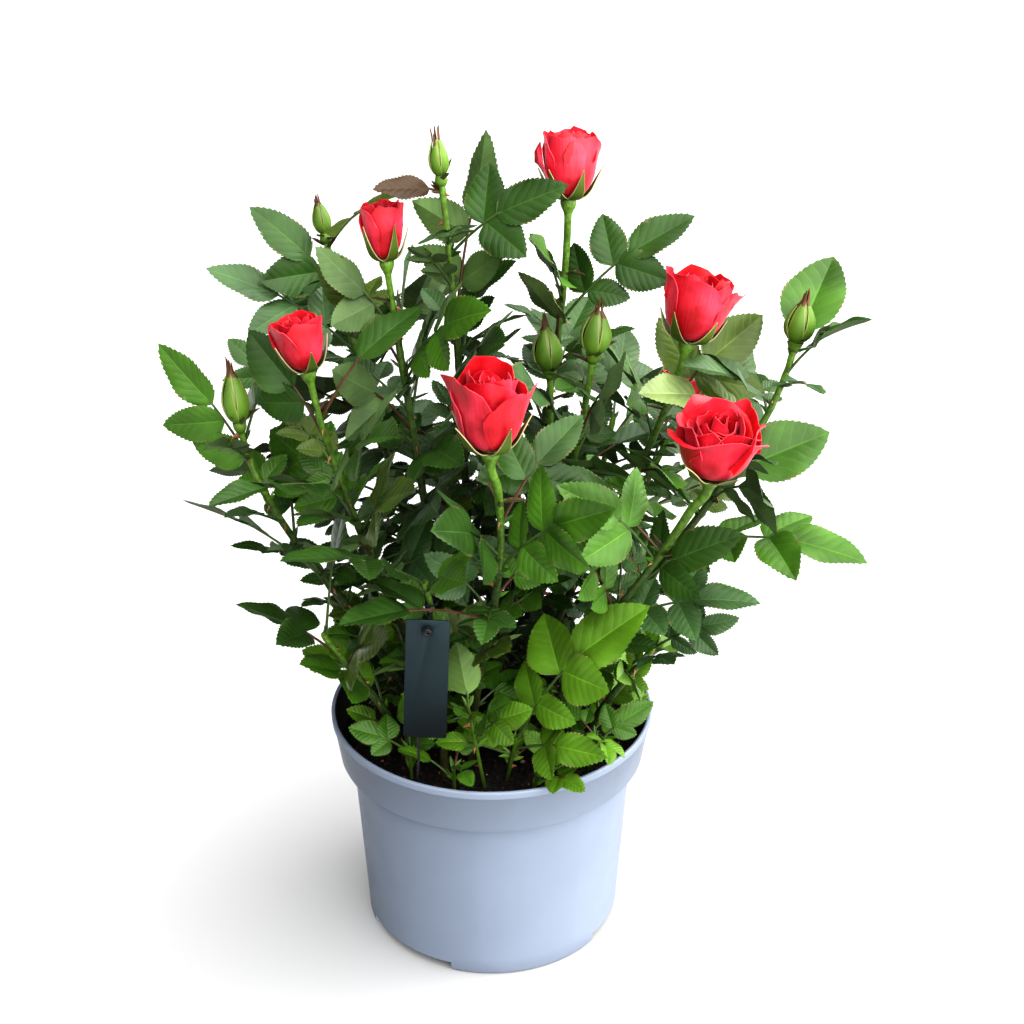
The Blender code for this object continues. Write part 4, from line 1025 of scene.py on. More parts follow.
def shell(grid, thickness):
    """A thin closed shell on a grid of points, each face's side (0, 1, or 2 at the edge), and places."""
    rows, columns, _ = grid.shape
    normal = np.cross(np.gradient(grid, axis=0), np.gradient(grid, axis=1))
    normal /= np.maximum(np.linalg.norm(normal, axis=2, keepdims=True), 1e-12)
    points = np.concatenate([(grid + normal * thickness / 2).reshape(-1, 3),
                             (grid - normal * thickness / 2).reshape(-1, 3)])
    size = rows * columns
    faces = []
    sides = []
    for r in range(rows - 1):
        for c in range(columns - 1):
            a = r * columns + c
            faces.append((a, a + columns, a + columns + 1, a + 1))
            faces.append((size + a, size + a + 1, size + a + columns + 1, size + a + columns))
            sides += [0, 1]
    index = np.arange(size).reshape(rows, columns).tolist()
    rim = index[0] + [row[-1] for row in index[1:]] + index[-1][-2::-1] + [row[0] for row in index[-2:0:-1]]
    for a, b in zip(rim, rim[1:] + rim[:1]):
        faces.append((a, b, size + b, size + a))
        sides.append(2)
    v, u = np.meshgrid(np.linspace(0, 1, rows), np.linspace(0, 1, columns), indexing="ij")
    places = np.tile(np.stack([u.ravel(), v.ravel()], axis=1), (2, 1))
    return points, faces, sides, places


def moved(points, frame):
    """Points moved by a matrix."""
    return as_array(points) @ np.array(frame.to_3x3()).T + np.array(frame.translation)


# Leaves ---------------------------------------------------


def leaf_outline(along):
    """Half a leaflet's width, as a share of its widest, at a share of its length."""
    return 2.867 * along ** 0.62 * (1.0 - along) ** 0.95


def leaflet_pattern(rows, columns, toothed):
    """A leaflet's pattern: points of (along, across, level, tooth), faces, and each face's finish.

    The level is 1 on top, -1 underneath and 0 at the edge. The finishes are top, rib, under and its rib.
    """
    points = [(0.0, 0.0, 0.0, 0.0), (1.0, 0.0, 0.0, 0.0)]
    index = {}

    def point(key, along, across, level, tooth=0.0):
        if key not in index:
            index[key] = len(points)
            points.append((along, across, level, tooth))
        return index[key]

    def at(row, column, side, level, steps):
        if row == 0:
            return 0
        if row == rows:
            return 1
        along = row / rows
        if column == 0:
            return point((row, 0, 0, level), along, 0.0, level)
        if column == len(steps) - 1:
            return point((row, "edge", side), along, side * leaf_outline(along), 0.0)
        across = side * steps[column] * leaf_outline(along)
        return point((row, column, side, level), along, across, level)

    faces = []
    finishes = []

    def face(corners, side, level, finish):
        corners = list(dict.fromkeys(corners))
        if len(corners) > 2:
            faces.append(tuple(corners if side * level > 0 else reversed(corners)))
            finishes.append(finish)

    for level, steps in ((1, columns), (-1, (0.0, columns[1], 1.0))):
        for side in (1, -1):
            for row in range(rows):
                for column in range(len(steps) - 1):
                    corners = [at(row, column, side, level, steps), at(row + 1, column, side, level, steps),
                               at(row + 1, column + 1, side, level, steps)]
                    if column == len(steps) - 2:
                        middle = (row + 0.5) / rows
                        edge = side * leaf_outline(middle)
                        corners.append(point((row, "middle", side), middle, edge, 0.0))
                    corners.append(at(row, column + 1, side, level, steps))
                    face(corners, side, level, (0 if level > 0 else 2) + (1 if column == 0 else 0))
    if toothed:
        for side in (1, -1):
            for half in range(1, 2 * rows - 1):
                row = half // 2
                ends_of = [at(row, len(columns) - 1, side, 1, columns), index[row, "middle", side],
                           at(row + 1, len(columns) - 1, side, 1, columns)]
                low, high = (ends_of[0], ends_of[1]) if half % 2 == 0 else (ends_of[1], ends_of[2])
                along = (half + 0.92) / (2.0 * rows)
                across = side * leaf_outline(min(along, 0.995))
                top = point(("tooth", half, side, 1), along, across, 0.35, 1.0)
                under = point(("tooth", half, side, -1), along, across, -0.35, 1.0)
                face([low, high, top], side, 1, 0)
                face([low, high, under], side, -1, 2)
                face([low, top, under], side, 1, 0)
                face([high, under, top], side, 1, 0)
    return np.array(points), faces, finishes


def leaflet(blade, pattern, seed, thickness, tooth, full_size=False):
    """A finished leaflet on a blade: folded, curled, waved at its edge and toothed."""
    points, faces, finishes = pattern
    chance = random.Random(seed)
    along, across, level, toothed = points.T
    half = 0.5 * blade.width * (0.95 if full_size else chance.uniform(0.68, 0.90))
    spread = across * half + np.sign(across) * toothed * tooth
    reach = along * blade.length * (1.0 if full_size else chance.uniform(0.88, 1.0))
    wave = 0.030 * blade.length * np.sin(tau * (along * chance.uniform(1.1, 1.9) + chance.random()))
    lift = blade.fold * np.abs(across) * half - blade.curl * blade.length * along ** 2
    lift += wave * across ** 2 - chance.uniform(0.02, 0.16) * half * np.abs(across) ** 3
    rib = np.exp(-(across / 0.10) ** 2)
    lift += thickness * (0.5 * level - 0.30 * rib * (level > 0) - 0.70 * rib * (level < 0))
    axis = np.array(blade.axis)
    normal = np.array(blade.normal)
    side = np.cross(normal, axis)
    placed_points = (np.array(blade.base) + np.outer(reach, axis) + np.outer(spread, side)
                     + np.outer(lift, normal))
    places = np.stack([along, 0.5 + 0.45 * across], axis=1)
    return placed_points, faces, finishes, places


def stipules(sprig):
    """Two small wings at the foot of a leaf's stalk."""
    ahead = (sprig.path[1] - sprig.path[0]).normalized()
    normal = sprig.blades[0].normal
    normal = (normal - ahead * normal.dot(ahead)).normalized()
    wings = []
    for side in (1.0, -1.0):
        axis = Matrix.Rotation(radians(24.0 * side), 3, normal) @ ahead
        wings.append(Blade(sprig.root, axis, normal, STIPULE_LENGTH, STIPULE_WIDTH, 0.6, -0.05))
    return wings


def bracts():
    """Small reddish leaves under each flower and where its stalk leaves the cane."""
    made = []
    for cane in CANES:
        if not cane.flower:
            continue
        chance = random.Random("bracts " + cane.name)
        heading = chance.uniform(0.0, 360.0)
        ending = (0.985, 0.985) if isinstance(cane.flower, Bud) else (cane.top - 0.03,)
        for share in (cane.top, cane.top, cane.top - 0.02, *ending):
            axis = direction(heading, chance.uniform(15.0, 62.0))
            normal = (UP - axis * axis.z).normalized()
            size = chance.uniform(*BRACT_SIZES)
            width = size * chance.uniform(0.26, 0.42)
            curl = chance.uniform(-0.15, 0.25)
            made.append(Blade(on_cane(cane)(share), axis, normal, size, width, 0.6, curl))
            heading += GOLDEN_ANGLE
    return made


def make_leaves():
    """The leaf pieces, one for each tint."""
    full = leaflet_pattern(TEETH_ROWS, (0.0, 0.035, 0.36, 0.72, 1.0), True)
    small = leaflet_pattern(SMALL_ROWS, (0.0, 0.045, 0.55, 1.0), True)
    plain = leaflet_pattern(3, (0.0, 0.3, 1.0), False)
    thickness = sizes().leaf_thickness
    moulds = {}
    for rank, (group, pattern) in enumerate(zip(grown_bush(), (full, small))):
        for number, sprig in enumerate(group):
            mould = moulds.setdefault(sprig.finish, Mould())
            alone = rank == 0 and len(sprig.blades) == 1
            for k, blade in enumerate(sprig.blades):
                if k:
                    shorter = 0.74 if sprig.owner.endswith("shoot") else 0.90
                    blade = blade._replace(length=blade.length * shorter)
                mould.add(*leaflet(blade, pattern, f"{rank} {number} {k}", thickness, sizes().tooth, alone))
            for k, wing in enumerate(stipules(sprig)):
                mould.add(*leaflet(wing, plain, f"wing {rank} {number} {k}", thickness, 0.0))
    bronze = moulds.setdefault("bronze", Mould())
    for number, bract in enumerate(bracts()):
        bronze.add(*leaflet(bract, plain, f"bract {number}", thickness, 0.0))
    for tint in sorted(moulds):
        slot = "young_foliage" if tint == "young" else "foliage"
        moulds[tint].piece("leaves_" + tint, leaf_finishes(tint), slot, named("foliage_"), 75.0)


def smooth_path(path, steps):
    """A quadratic curve through three points."""
    a, b, c = path
    control = b * 2.0 - (a + c) * 0.5
    curve = []
    for k in range(steps + 1):
        t = k / steps
        curve.append(a * (1 - t) ** 2 + control * (2 * t * (1 - t)) + c * t * t)
    return curve


def make_leaf_stalks():
    """The thin stalks of all leaves, in one piece."""
    mould = Mould()
    sprigs, finer = grown_bush()
    for sprig in sprigs + finer:
        path = smooth_path(sprig.path, 6)
        last = sprig.blades[0]
        path.append(last.base + last.axis * (0.10 * last.length) - last.normal * 0.0002)
        radii = [RACHIS * share for share in (1.35, 1.1, 1.0, 0.95, 0.9, 0.85, 0.8, 0.35)]
        points, faces, places = round_tube(path, radii, 5)
        red = random.Random(f"stalk {sprig.owner} {sprig.root.z:.4f}").random() < 0.3
        mould.add(points, faces, int(red), places)
    skins = [bark_finish("leaf stalk green", colours().cane, 1.6, 0.5),
             bark_finish("leaf stalk red", LEAF_STALK_RED, 1.0, 0.5)]
    mould.piece("leaf_stalks", skins, "foliage", named("foliage_"))


# Canes ----------------------------------------------------


def cane_relief(points, path, joints, seed):
    """Pushes a cane's points out in ridges, and round its joints."""
    chance = random.Random(seed)
    phases = [chance.uniform(0.0, tau) for _ in range(4)]
    sides = len(points) // len(path)
    ring = np.repeat(np.arange(len(path)), sides)
    angle = np.tile(tau * np.arange(sides) / sides, len(path))
    run = runs(path)[ring]
    factor = 1.0 + 0.026 * np.sin(3 * angle + phases[0] + 60.0 * run)
    factor += 0.020 * np.sin(5 * angle + phases[1] - 130.0 * run) + 0.014 * np.sin(420.0 * run + phases[2])
    factor += 0.016 * np.sin(7 * angle + 900.0 * run + phases[3])
    for joint in joints:
        factor += 0.15 * np.exp(-((run - joint) / 0.0014) ** 2)
    centre = as_array(path)[ring]
    return centre + (points - centre) * factor[:, None]


def make_canes():
    """All canes and shoots with their bark's relief, from the peat to the tips."""
    mould = Mould()
    for cane in CANES:
        foot, tip = ends(cane)
        length = path_length(cane_path(foot, tip, cane.lean, 0.0, 1.0, 24))
        steps = round(length / CANE_RING)
        last = cane.top if isinstance(cane.flower, Rose) else 1.0
        path = [foot - UP * CANE_BURIED] + cane_path(foot, tip, cane.lean, 0.0, last, steps)
        thinning = (TIP_THICKNESS - FOOT_THICKNESS) * last
        radii = [CANE_SLIMMING * (FOOT_THICKNESS + thinning * k / steps) for k in range(steps + 1)]
        points, faces, places = round_tube(path, [FOOT_THICKNESS] + radii, CANE_ROUND)
        places[:, 0] = places[:, 1] / (length + CANE_BURIED)
        leaves = (*cane.leaves, *rule_leaves(cane.name, length, cane.bare, cane.top))
        joints = [leaf.at * length + CANE_BURIED for leaf in leaves]
        mould.add(cane_relief(points, path, joints, cane.name), faces, 0, places)
    for shoot in SHOOTS:
        foot = shoot_foot(shoot) - UP * SHOOT_BURIED
        path = [foot.lerp(Vector(shoot.tip), k / 10) for k in range(11)]
        radii = tapered(10, 0.72 * SHOOT_FOOT_THICKNESS, 0.8 * SHOOT_TIP_THICKNESS)
        points, faces, places = round_tube(path, radii, STALK_ROUND)
        mould.add(cane_relief(points, path, [], shoot.name), faces, 1, places)
    skins = [cane_finish("cane bark"), bark_finish("shoot green", shaded(colours().stalk, 0.55), 1.0, 0.45)]
    return mould.piece("canes", skins, "cane", named("cane_") + named("foliage_"), 60.0)


# Roses ----------------------------------------------------


def bezier(a, b, c, d, t):
    """A cubic Bezier curve of numbers."""
    rest = 1.0 - t
    return a * rest ** 3 + 3.0 * b * rest * rest * t + 3.0 * c * rest * t * t + d * t ** 3


def petal_grid(petal, radius, height, seed):
    """The middle surface of one petal: cupped, with a round or pointed top that rolls out at its edge."""
    chance = random.Random(seed)
    u = np.linspace(-1.0, 1.0, PETAL_ACROSS)[None, :]
    v = np.linspace(0.0, 1.0, PETAL_ALONG)[:, None]
    drop = 0.24 + 0.24 * petal.point
    power = 3.2 - 1.9 * petal.point
    pulled = np.where(u < 0.0, petal.left, petal.right)
    s = v * (1.0 - drop * np.abs(u) ** power * (1.0 - np.clip(1.9 * pulled, 0.0, 0.8)))
    r = bezier(0.17, petal.waist * 0.95, petal.waist * 1.06, petal.rim, s)
    z = bezier(0.0, 0.05, 0.60, 1.0, s) * petal.height
    widen = 0.34 + 0.66 * np.sin(np.clip(s / 0.62, 0.0, 1.0) * pi / 2.0)
    angle = radians(petal.turn) + u * radians(petal.half) * widen
    phase = chance.uniform(0.0, tau)
    roll = np.clip((v - 0.62) / 0.38, 0.0, 1.0) ** 2 * (1.0 + 0.45 * np.sin(3.1 * u + phase))
    r = r + petal.lip * roll + 0.5 * petal.lip * petal.point * np.abs(u) ** 2 * v ** 2
    z = z - 0.55 * petal.lip * roll ** 2 * radius / height
    r = r * (1.0 + petal.skew * u * np.clip(s / 0.5, 0.0, 1.0))
    pull = petal.left * np.clip(-u, 0.0, 1.0) ** 2 + petal.right * np.clip(u, 0.0, 1.0) ** 2
    r = r * (1.0 + pull * v ** 2.5)
    r = r + 0.040 * np.sin(5.0 * u + phase) * v ** 4 + 0.018 * np.sin(11.0 * u + 3.0 * phase) * v ** 6
    z = z + (0.026 * np.sin(6.0 * u + 2.0 * phase) + 0.012 * np.sin(13.0 * u + phase)) * v ** 4
    return np.stack([radius * r * np.cos(angle), radius * r * np.sin(angle), height * z], axis=2)


def petals_of(name, rose):
    """The petals of a rose, from the outermost in."""
    chance = random.Random("petals " + name)
    petals = list(PETALS_OF.get(name, ()))
    if not petals:
        waist = 0.88 - 0.20 * rose.opening
        for k in range(5):
            petals.append(Petal(72.0 * k + chance.uniform(-8, 8), 54.0, chance.uniform(0.88, 0.97),
                                0.90, chance.uniform(0.1, 0.5), 0.05 + 0.08 * rose.opening, waist))
    petals = [petal._replace(turn=petal.turn - rose.turn) for petal in petals]
    waist = petals[-1].waist - 0.07
    spin = chance.uniform(0.0, 360.0)
    heart = 1.0 - 0.14 * rose.opening
    for k in range(0 if name in PETALS_OF else 3):
        spin += GOLDEN_ANGLE
        rim = waist - 0.06 * k
        petals.append(Petal(spin, 74.0, 0.93 + 0.02 * k, rim, 0.1, 0.07, waist - 0.04 * k, 0.09))
    for k in range(4):
        spin += GOLDEN_ANGLE
        share = min(0.48 - 0.09 * k, waist)
        height = (0.98 - 0.012 * k) * heart
        petals.append(Petal(spin, 92.0, height, share - 0.06, 0.1, 0.12, share + 0.06, 0.12))
    for k in range(3):
        spin += GOLDEN_ANGLE
        height = (0.99 - 0.02 * k) * heart
        petals.append(Petal(spin, 120.0, height, 0.17 - 0.05 * k, 0.0, 0.03, 0.23 - 0.06 * k, 0.16))
    return petals


def canes_with(kind):
    """The canes that end in a rose or in a bud."""
    return [cane for cane in CANES if isinstance(cane.flower, kind)]


def rose_frame(cane):
    """The frame of a cane's bloom, and the bloom's axis."""
    tip = Vector(cane.tip)
    axis = (Vector((*cane.lean, 1.0)).normalized() + Vector((*cane.flower.tilt, 0.0))).normalized()
    axis = (axis + Vector((*ROSE_LEAN.get(cane.name, (0.0, 0.0)), 0.0))).normalized()
    return bloom_frame(tip, axis, cane.flower.turn), axis


def make_petals():
    """The blooms, petal by petal, in one piece."""
    mould = Mould()
    for cane in canes_with(Rose):
        frame, _ = rose_frame(cane)
        rose = cane.flower
        height = rose.height * BLOOM_HEIGHT.get(cane.name, 1.0)
        for k, petal in enumerate(petals_of(cane.name, rose)):
            grid = petal_grid(petal, 0.5 * rose.width, height, f"{cane.name} {k}")
            mould.add_sheet(grid, PETAL_THICKNESS, frame, lambda row, edged, side: int(side > 0))
    # The last number of each is how much painted highlight reaches the petals' rims.
    skins = [petal_finish("petal inside", colours().petal, 0.48),
             petal_finish("petal outside", colours().petal_back, 0.58)]
    mould.piece("petals", skins, "bloom", named("rose_"), 80.0)


def sepal_grid(angle, rose, petal, reach, flare):
    """The middle surface of a sepal that lies on the outer petals and lets go of them at its tip."""
    rows, columns = 14, len(SEPAL_ACROSS)
    grid = np.empty((rows, columns, 3))
    width = SEPAL_WIDTH * (0.55 + 20.0 * rose.width)
    for r in range(rows):
        t = r / (rows - 1)
        s = reach * t
        away = 0.5 * rose.width * bezier(0.17, petal.waist * 0.95, petal.waist * 1.06, petal.rim, s)
        away += 0.0007 + 0.0005 * min(4.0 * t, 1.0) + flare * max(t - 0.55, 0.0) ** 2
        height = rose.height * petal.height * bezier(0.0, 0.05, 0.60, 1.0, s) - 0.0010
        half = 0.5 * width * max((1.0 - t) ** 0.8 * (0.78 + 1.5 * t * (1.0 - t)), 0.04)
        for c, across in enumerate(SEPAL_ACROSS):
            turn = angle + half * across / max(away, 0.0022)
            grid[r, c] = (away * cos(turn), away * sin(turn), height)
    return grid


def add_sepals(mould, frame, rose, petal, count, seed):
    """A ring of sepals round a bloom, with a paler edge."""
    chance = random.Random(seed)
    for k in range(count):
        angle = tau * (k + SEPAL_TURN) / count + chance.uniform(-0.12, 0.12) - radians(rose.turn)
        reach = chance.uniform(0.66, 0.82) - 0.22 * rose.opening
        flare = chance.uniform(0.001, 0.012) * (0.4 + 1.8 * rose.opening)
        grid = sepal_grid(angle, rose, petal, reach, flare)
        mould.add_sheet(grid, SEPAL_THICKNESS, frame, lambda row, edged, side: int(edged))


def make_rose_greens():
    """Flower stalks, hips and sepals."""
    stalks = Mould()
    greens = Mould()
    for cane in canes_with(Rose):
        rose = cane.flower
        frame, axis = rose_frame(cane)
        foot, tip = ends(cane)
        path = cane_path(foot, tip, cane.lean, cane.top - 0.03, 1.0, 24)
        path = [p for p in path if (p - tip).length > 0.0165] or path[:2]
        start, ending = path[-1], tip - axis * 0.0064
        pull = (ending - start).length / 3.0
        ahead = (path[-1] - path[-2]).normalized()
        bend = (start, start + ahead * pull, ending - axis * pull, ending)
        path += [bezier(*bend, k / 8) for k in range(1, 8)]
        steps = len(path)
        path += [tip - axis * depth for depth in (0.0062, 0.0048, 0.0036, 0.0024, 0.0010, 0.0)]
        stalk = STALK_THICKNESS * (0.38 + 15.0 * rose.width)
        hip = HIP_RADIUS * (0.62 + 12.0 * rose.width)
        radii = [stalk * (0.90 + 0.10 * k / steps) for k in range(steps)]
        radii += [1.06 * stalk, 0.6 * stalk + 0.4 * hip, 0.88 * hip, hip, 0.98 * hip, 0.76 * hip]
        points, faces, places = round_tube(path, radii, 12)
        places[:, 0] = np.minimum(cane.top + (1.0 - cane.top) * places[:, 1] / places[-1, 1], 1.0)
        stalks.add(points, faces, 0, places)
        widest = max(petals_of(cane.name, rose)[:5], key=lambda petal: petal.waist + petal.rim)
        add_sepals(greens, frame, rose, widest, 5, cane.name)
    stalks.piece("flower_stalks", [cane_finish("flower stalk")], "cane", named("rose_"))
    skins = [leaf_material(*skin, 0.0) for skin in SEPAL_SKINS]
    greens.piece("rose_sepals", skins, "foliage", named("rose_"), 75.0)


def make_buds():
    """Closed buds: an egg of green petals held by five long sepals."""
    mould = Mould()
    for cane in canes_with(Bud):
        bud = cane.flower
        frame = bud_frame(cane)
        radius = 0.5 * bud.width
        profile = [(0.0, -0.002)]
        for k in range(1, 14):
            t = k / 14
            profile.append((0.86 * radius * sin(pi * t ** 0.78) ** 0.75, bud.length * t))
        profile.append((0.0, bud.length))
        points, faces = turned(profile, 16)
        mould.add(moved(points, frame), faces, 2)
        hip = [(0.0, -0.0040), (0.0016, -0.0036), (0.0024, -0.0020), (0.60 * radius, 0.0002), (0.0, 0.0016)]
        points, faces = turned(hip, 14)
        mould.add(moved(points, frame), faces, 0)
        for k in range(5):
            grid = bud_sepal_grid(bud, radius, tau * k / 5, f"{cane.name} {k}")
            mould.add_sheet(
                grid, SEPAL_THICKNESS, frame, lambda row, edged, side: 3 if row > 10 else int(edged))
    skins = [leaf_material(*skin, 0.0) for skin in BUD_SKINS]
    mould.piece("buds", skins, "young_foliage", named("foliage_"), 75.0)


def bud_sepal_grid(bud, radius, angle, seed):
    """A sepal that clasps the bud and ends in a thin tip that stands free."""
    chance = random.Random(seed)
    rows, columns = 16, len(SEPAL_ACROSS)
    grid = np.empty((rows, columns, 3))
    beak = chance.uniform(1.12, 1.36)
    lean = 0.16 * bud.flare + chance.uniform(-0.02, 0.04)
    for r in range(rows):
        t = r / (rows - 1)
        height = bud.length * (beak * t)
        share = min(beak * t, 1.0)
        body = radius * sin(pi * min(0.02 + 0.98 * share, 0.97) ** 0.78) ** 0.75
        body *= 1.0 - min(max(beak * t - 1.0, 0.0) / 0.26, 1.0)
        free = max(beak * t - 0.72, 0.0)
        reach = body * 1.02 + bud.length * lean * free * 1.1 + 0.0003
        half = radians(42.0) * (1.0 - t) ** 0.6 + 0.05
        width = min(half * max(body, 0.34 * radius), 0.62 * radius) if free > 0 else half * body
        for c, across in enumerate(SEPAL_ACROSS):
            turn = angle + across * width / max(reach, 0.0008)
            ridge = 1.0 + 0.05 * (1.0 - abs(across)) + 0.04 * across
            grid[r, c] = (reach * ridge * cos(turn), reach * ridge * sin(turn), height)
    return grid


# Pot, peat, tag -------------------------------------------


def pot_profile():
    """The pot's section: from the axis along the inside, over the lip, and down outside to the axis."""
    collar_foot = POT_HEIGHT - COLLAR_HEIGHT
    floor = FOOT_HEIGHT + WALL
    base = BASE_RADIUS
    top = BODY_TOP_RADIUS
    collar = COLLAR_FOOT_RADIUS
    slope = (top - base) / collar_foot
    mouth = RIM_RADIUS - WALL - 0.0004
    inside = [
        (0.0, floor), (base - WALL - 0.002, floor), (base - WALL, floor + 0.002),
        (top - WALL, collar_foot + WALL), (collar - WALL - 0.001, collar_foot + WALL),
        (collar - WALL, collar_foot + WALL + 0.001),
        (mouth, POT_HEIGHT - 0.0034), (mouth, POT_HEIGHT - 0.0012),
    ]
    lip = []
    for k in range(9):
        angle = pi * (1.0 - k / 8)
        lip.append((RIM_RADIUS - 0.5 * WALL - 0.0001 + (0.5 * WALL + 0.0001) * cos(angle),
                    POT_HEIGHT - 0.0008 + 0.0008 * sin(angle)))
    outside = [
        (RIM_RADIUS - 0.0001, POT_HEIGHT - 0.0030), (RIM_RADIUS - 0.0007, POT_HEIGHT - 0.0036),
        (collar + 0.0001, collar_foot + 0.0012), (collar - 0.0003, collar_foot + 0.0004),
        (collar - 0.0012, collar_foot), (top + 0.0008, collar_foot), (top, collar_foot - 0.0008),
        (base + slope * 2.0 * FOOT_HEIGHT, 2.0 * FOOT_HEIGHT),
        (base + 0.0001, 0.0012), (base - 0.0004, 0.0003),
        (base - 0.0012, 0.0), (base - FOOT_WIDTH, 0.0), (base - FOOT_WIDTH, FOOT_HEIGHT),
        (HUB_RADIUS, FOOT_HEIGHT), (HUB_RADIUS, 0.0), (0.0, 0.0),
    ]
    return inside, lip, outside


def make_pot():
    """The nursery pot: turned, with notches between its feet and drain holes."""
    inside, lip, outside = pot_profile()
    skins = [plastic_finish("pot plastic", colours().pot, 0.42),
             plastic_finish("pot inside", colours().pot_inside, 0.5)]
    pot = object_from("nursery_pot", *turned(inside + lip + outside, POT_ROUND), skins)
    # Painted shade: the inner wall and the inner half of the lip take the near-black finish.
    dark = len(inside) + 2
    for number, polygon in enumerate(pot.data.polygons):
        polygon.material_index = 1 if number // POT_ROUND < dark else 0
    surface = bmesh.new()
    surface.from_mesh(pot.data)
    bmesh.ops.recalc_face_normals(surface, faces=surface.faces)
    surface.to_mesh(pot.data)
    surface.free()
    cut_out(pot, [notch_prism(k) for k in range(FEET)] + [drain_prism(k) for k in range(DRAIN_HOLES)])
    smooth(pot.data, 38.0)
    hang(pot, ["pot"])


def cut_out(thing, shapes):
    """Cuts shapes out of a thing."""
    scraps = [object_from(f"cut_{number}", *shape) for number, shape in enumerate(shapes)]
    for scrap in scraps:
        change = thing.modifiers.new(scrap.name, "BOOLEAN")
        change.operation = "DIFFERENCE"
        change.object = scrap
    apply_modifiers(thing)
    for scrap in scraps:
        bpy.data.objects.remove(scrap)


def apply_modifiers(thing):
    """Turns what the modifiers make into the object's own mesh."""
    graph = bpy.context.evaluated_depsgraph_get()
    mesh = bpy.data.meshes.new_from_object(thing.evaluated_get(graph))
    thing.modifiers.clear()
    old = thing.data
    thing.data = mesh
    bpy.data.meshes.remove(old)


def prism(outline, low, high):
    """Points and faces of an upright prism on an outline that runs counter-clockwise."""
    count = len(outline)
    points = [Vector((x, y, low)) for x, y in outline] + [Vector((x, y, high)) for x, y in outline]
    faces = [tuple(reversed(range(count))), tuple(range(count, 2 * count))]
    for k in range(count):
        n = (k + 1) % count
        faces.append((k, n, count + n, count + k))
    return points, faces


def notch_prism(index):
    """A wedge that opens the foot ring between two feet."""
    inner = HUB_RADIUS + 0.002
    outer = BASE_RADIUS + 0.010
    start = FIRST_NOTCH + index * 360.0 / FEET - 0.5 * NOTCH_ANGLE
    angles = [radians(start + NOTCH_ANGLE * k / 12) for k in range(13)]
    outline = [on_circle(outer, a) for a in angles] + [on_circle(inner, a) for a in reversed(angles)]
    return prism(outline, -0.001, FOOT_HEIGHT)


def drain_prism(index):
    """A round hole through the floor."""
    middle = on_circle(DRAIN_CIRCLE, tau * (index + 0.5) / DRAIN_HOLES)
    outline = [on_circle(DRAIN_RADIUS, tau * k / 24, *middle) for k in range(24)]
    return prism(outline, 0.001, FOOT_HEIGHT + 2.0 * WALL)


def make_peat():
    """The peat: a lumpy top that dips to the wall, on a plug that fills the pot."""
    collar_foot = POT_HEIGHT - COLLAR_HEIGHT
    floor = FOOT_HEIGHT + WALL + GAP
    shelf = collar_foot + WALL + GAP
    slope = (RIM_RADIUS - COLLAR_FOOT_RADIUS) / COLLAR_HEIGHT
    inset = WALL + 0.0012
    edge = COLLAR_FOOT_RADIUS - inset + slope * (SOIL_TOP - collar_foot - WALL)
    sides = PEAT_SIDES
    angles = [tau * k / sides for k in range(sides)]
    points = [(0.0, 0.0, SOIL_TOP + lump(0.0, 0.0))]
    for ring in range(1, PEAT_RINGS + 1):
        dip = 0.0016 * (ring / PEAT_RINGS) ** 8
        for angle in angles:
            x, y = on_circle(edge * ring / PEAT_RINGS, angle)
            points.append((x, y, SOIL_TOP + lump(x, y) - dip))
    for radius, height in ((COLLAR_FOOT_RADIUS, shelf), (BODY_TOP_RADIUS, shelf), (BASE_RADIUS, floor)):
        points += [(*on_circle(radius - inset, angle), height) for angle in angles]
    points.append((0.0, 0.0, floor))
    faces = [(0, 1 + k, 1 + (k + 1) % sides) for k in range(sides)]
    for ring in range(PEAT_RINGS + 2):
        start = 1 + ring * sides
        for k in range(sides):
            n = (k + 1) % sides
            faces.append((start + k, start + sides + k, start + sides + n, start + n))
    start += sides
    faces += [(start + k, len(points) - 1, start + (k + 1) % sides) for k in range(sides)]
    mould = Mould()
    mould.add(np.array(points), faces)
    peat = mould.piece("peat", [peat_finish("peat", colours().peat, 1.0)], "peat", ["soil"], 60.0)
    inputs = {"Crumb": sizes().crumb, "Spacing": sizes().crumb_spacing, "Seed": sizes().seed}
    hang(scattered("peat_crumbs", peat, crumb_tree(inputs), inputs), [])


def lump(x, y):
    """The peat's height above its level: lumps a few millimetres across."""
    height = 0.0
    for number, (scale, depth) in enumerate(((150.0, 0.0009), (390.0, 0.0006), (900.0, 0.0003))):
        a = scale * (x * cos(number + 0.7) + y * sin(number + 0.7))
        b = scale * (y * cos(number + 0.2) - x * sin(number + 0.2))
        height += depth * sin(a + 1.7 * sin(0.6 * b)) * cos(b + 1.3 * sin(0.7 * a))
    return height - 0.0004


def make_tag():
    """The bare card, with its hole."""
    frame = tag_frame() @ Matrix.Rotation(radians(90.0), 4, "X")
    half = 0.5 * TAG_WIDTH - CARD_CORNER
    low, high = CARD_CORNER - TAG_HEIGHT, -CARD_CORNER
    outline = []
    for x, y, start in ((half, low, -90), (half, high, 0), (-half, high, 90), (-half, low, 180)):
        outline += [on_circle(CARD_CORNER, radians(start + 90.0 * k / 4), x, y) for k in range(5)]
    hole = [on_circle(TAG_HOLE_RADIUS, tau * k / 28, 0.0, -TAG_HOLE_DROP) for k in range(28)]
    sheet = prism(outline, -0.5 * TAG_THICKNESS, 0.5 * TAG_THICKNESS)
    card = object_from("tag_card", *placed(sheet, frame))
    cut_out(card, [placed(prism(hole, -0.002, 0.002), frame)])
    bevel = card.modifiers.new("edge", "BEVEL")
    bevel.width = CARD_BEVEL
    bevel.segments = 2
    bevel.limit_method = "ANGLE"
    apply_modifiers(card)
    card.data.materials.clear()
    card.data.materials.append(card_finish("slate card", colours().card))
    smooth(card.data, 35.0)
    hang(card, ["hang_tag"])


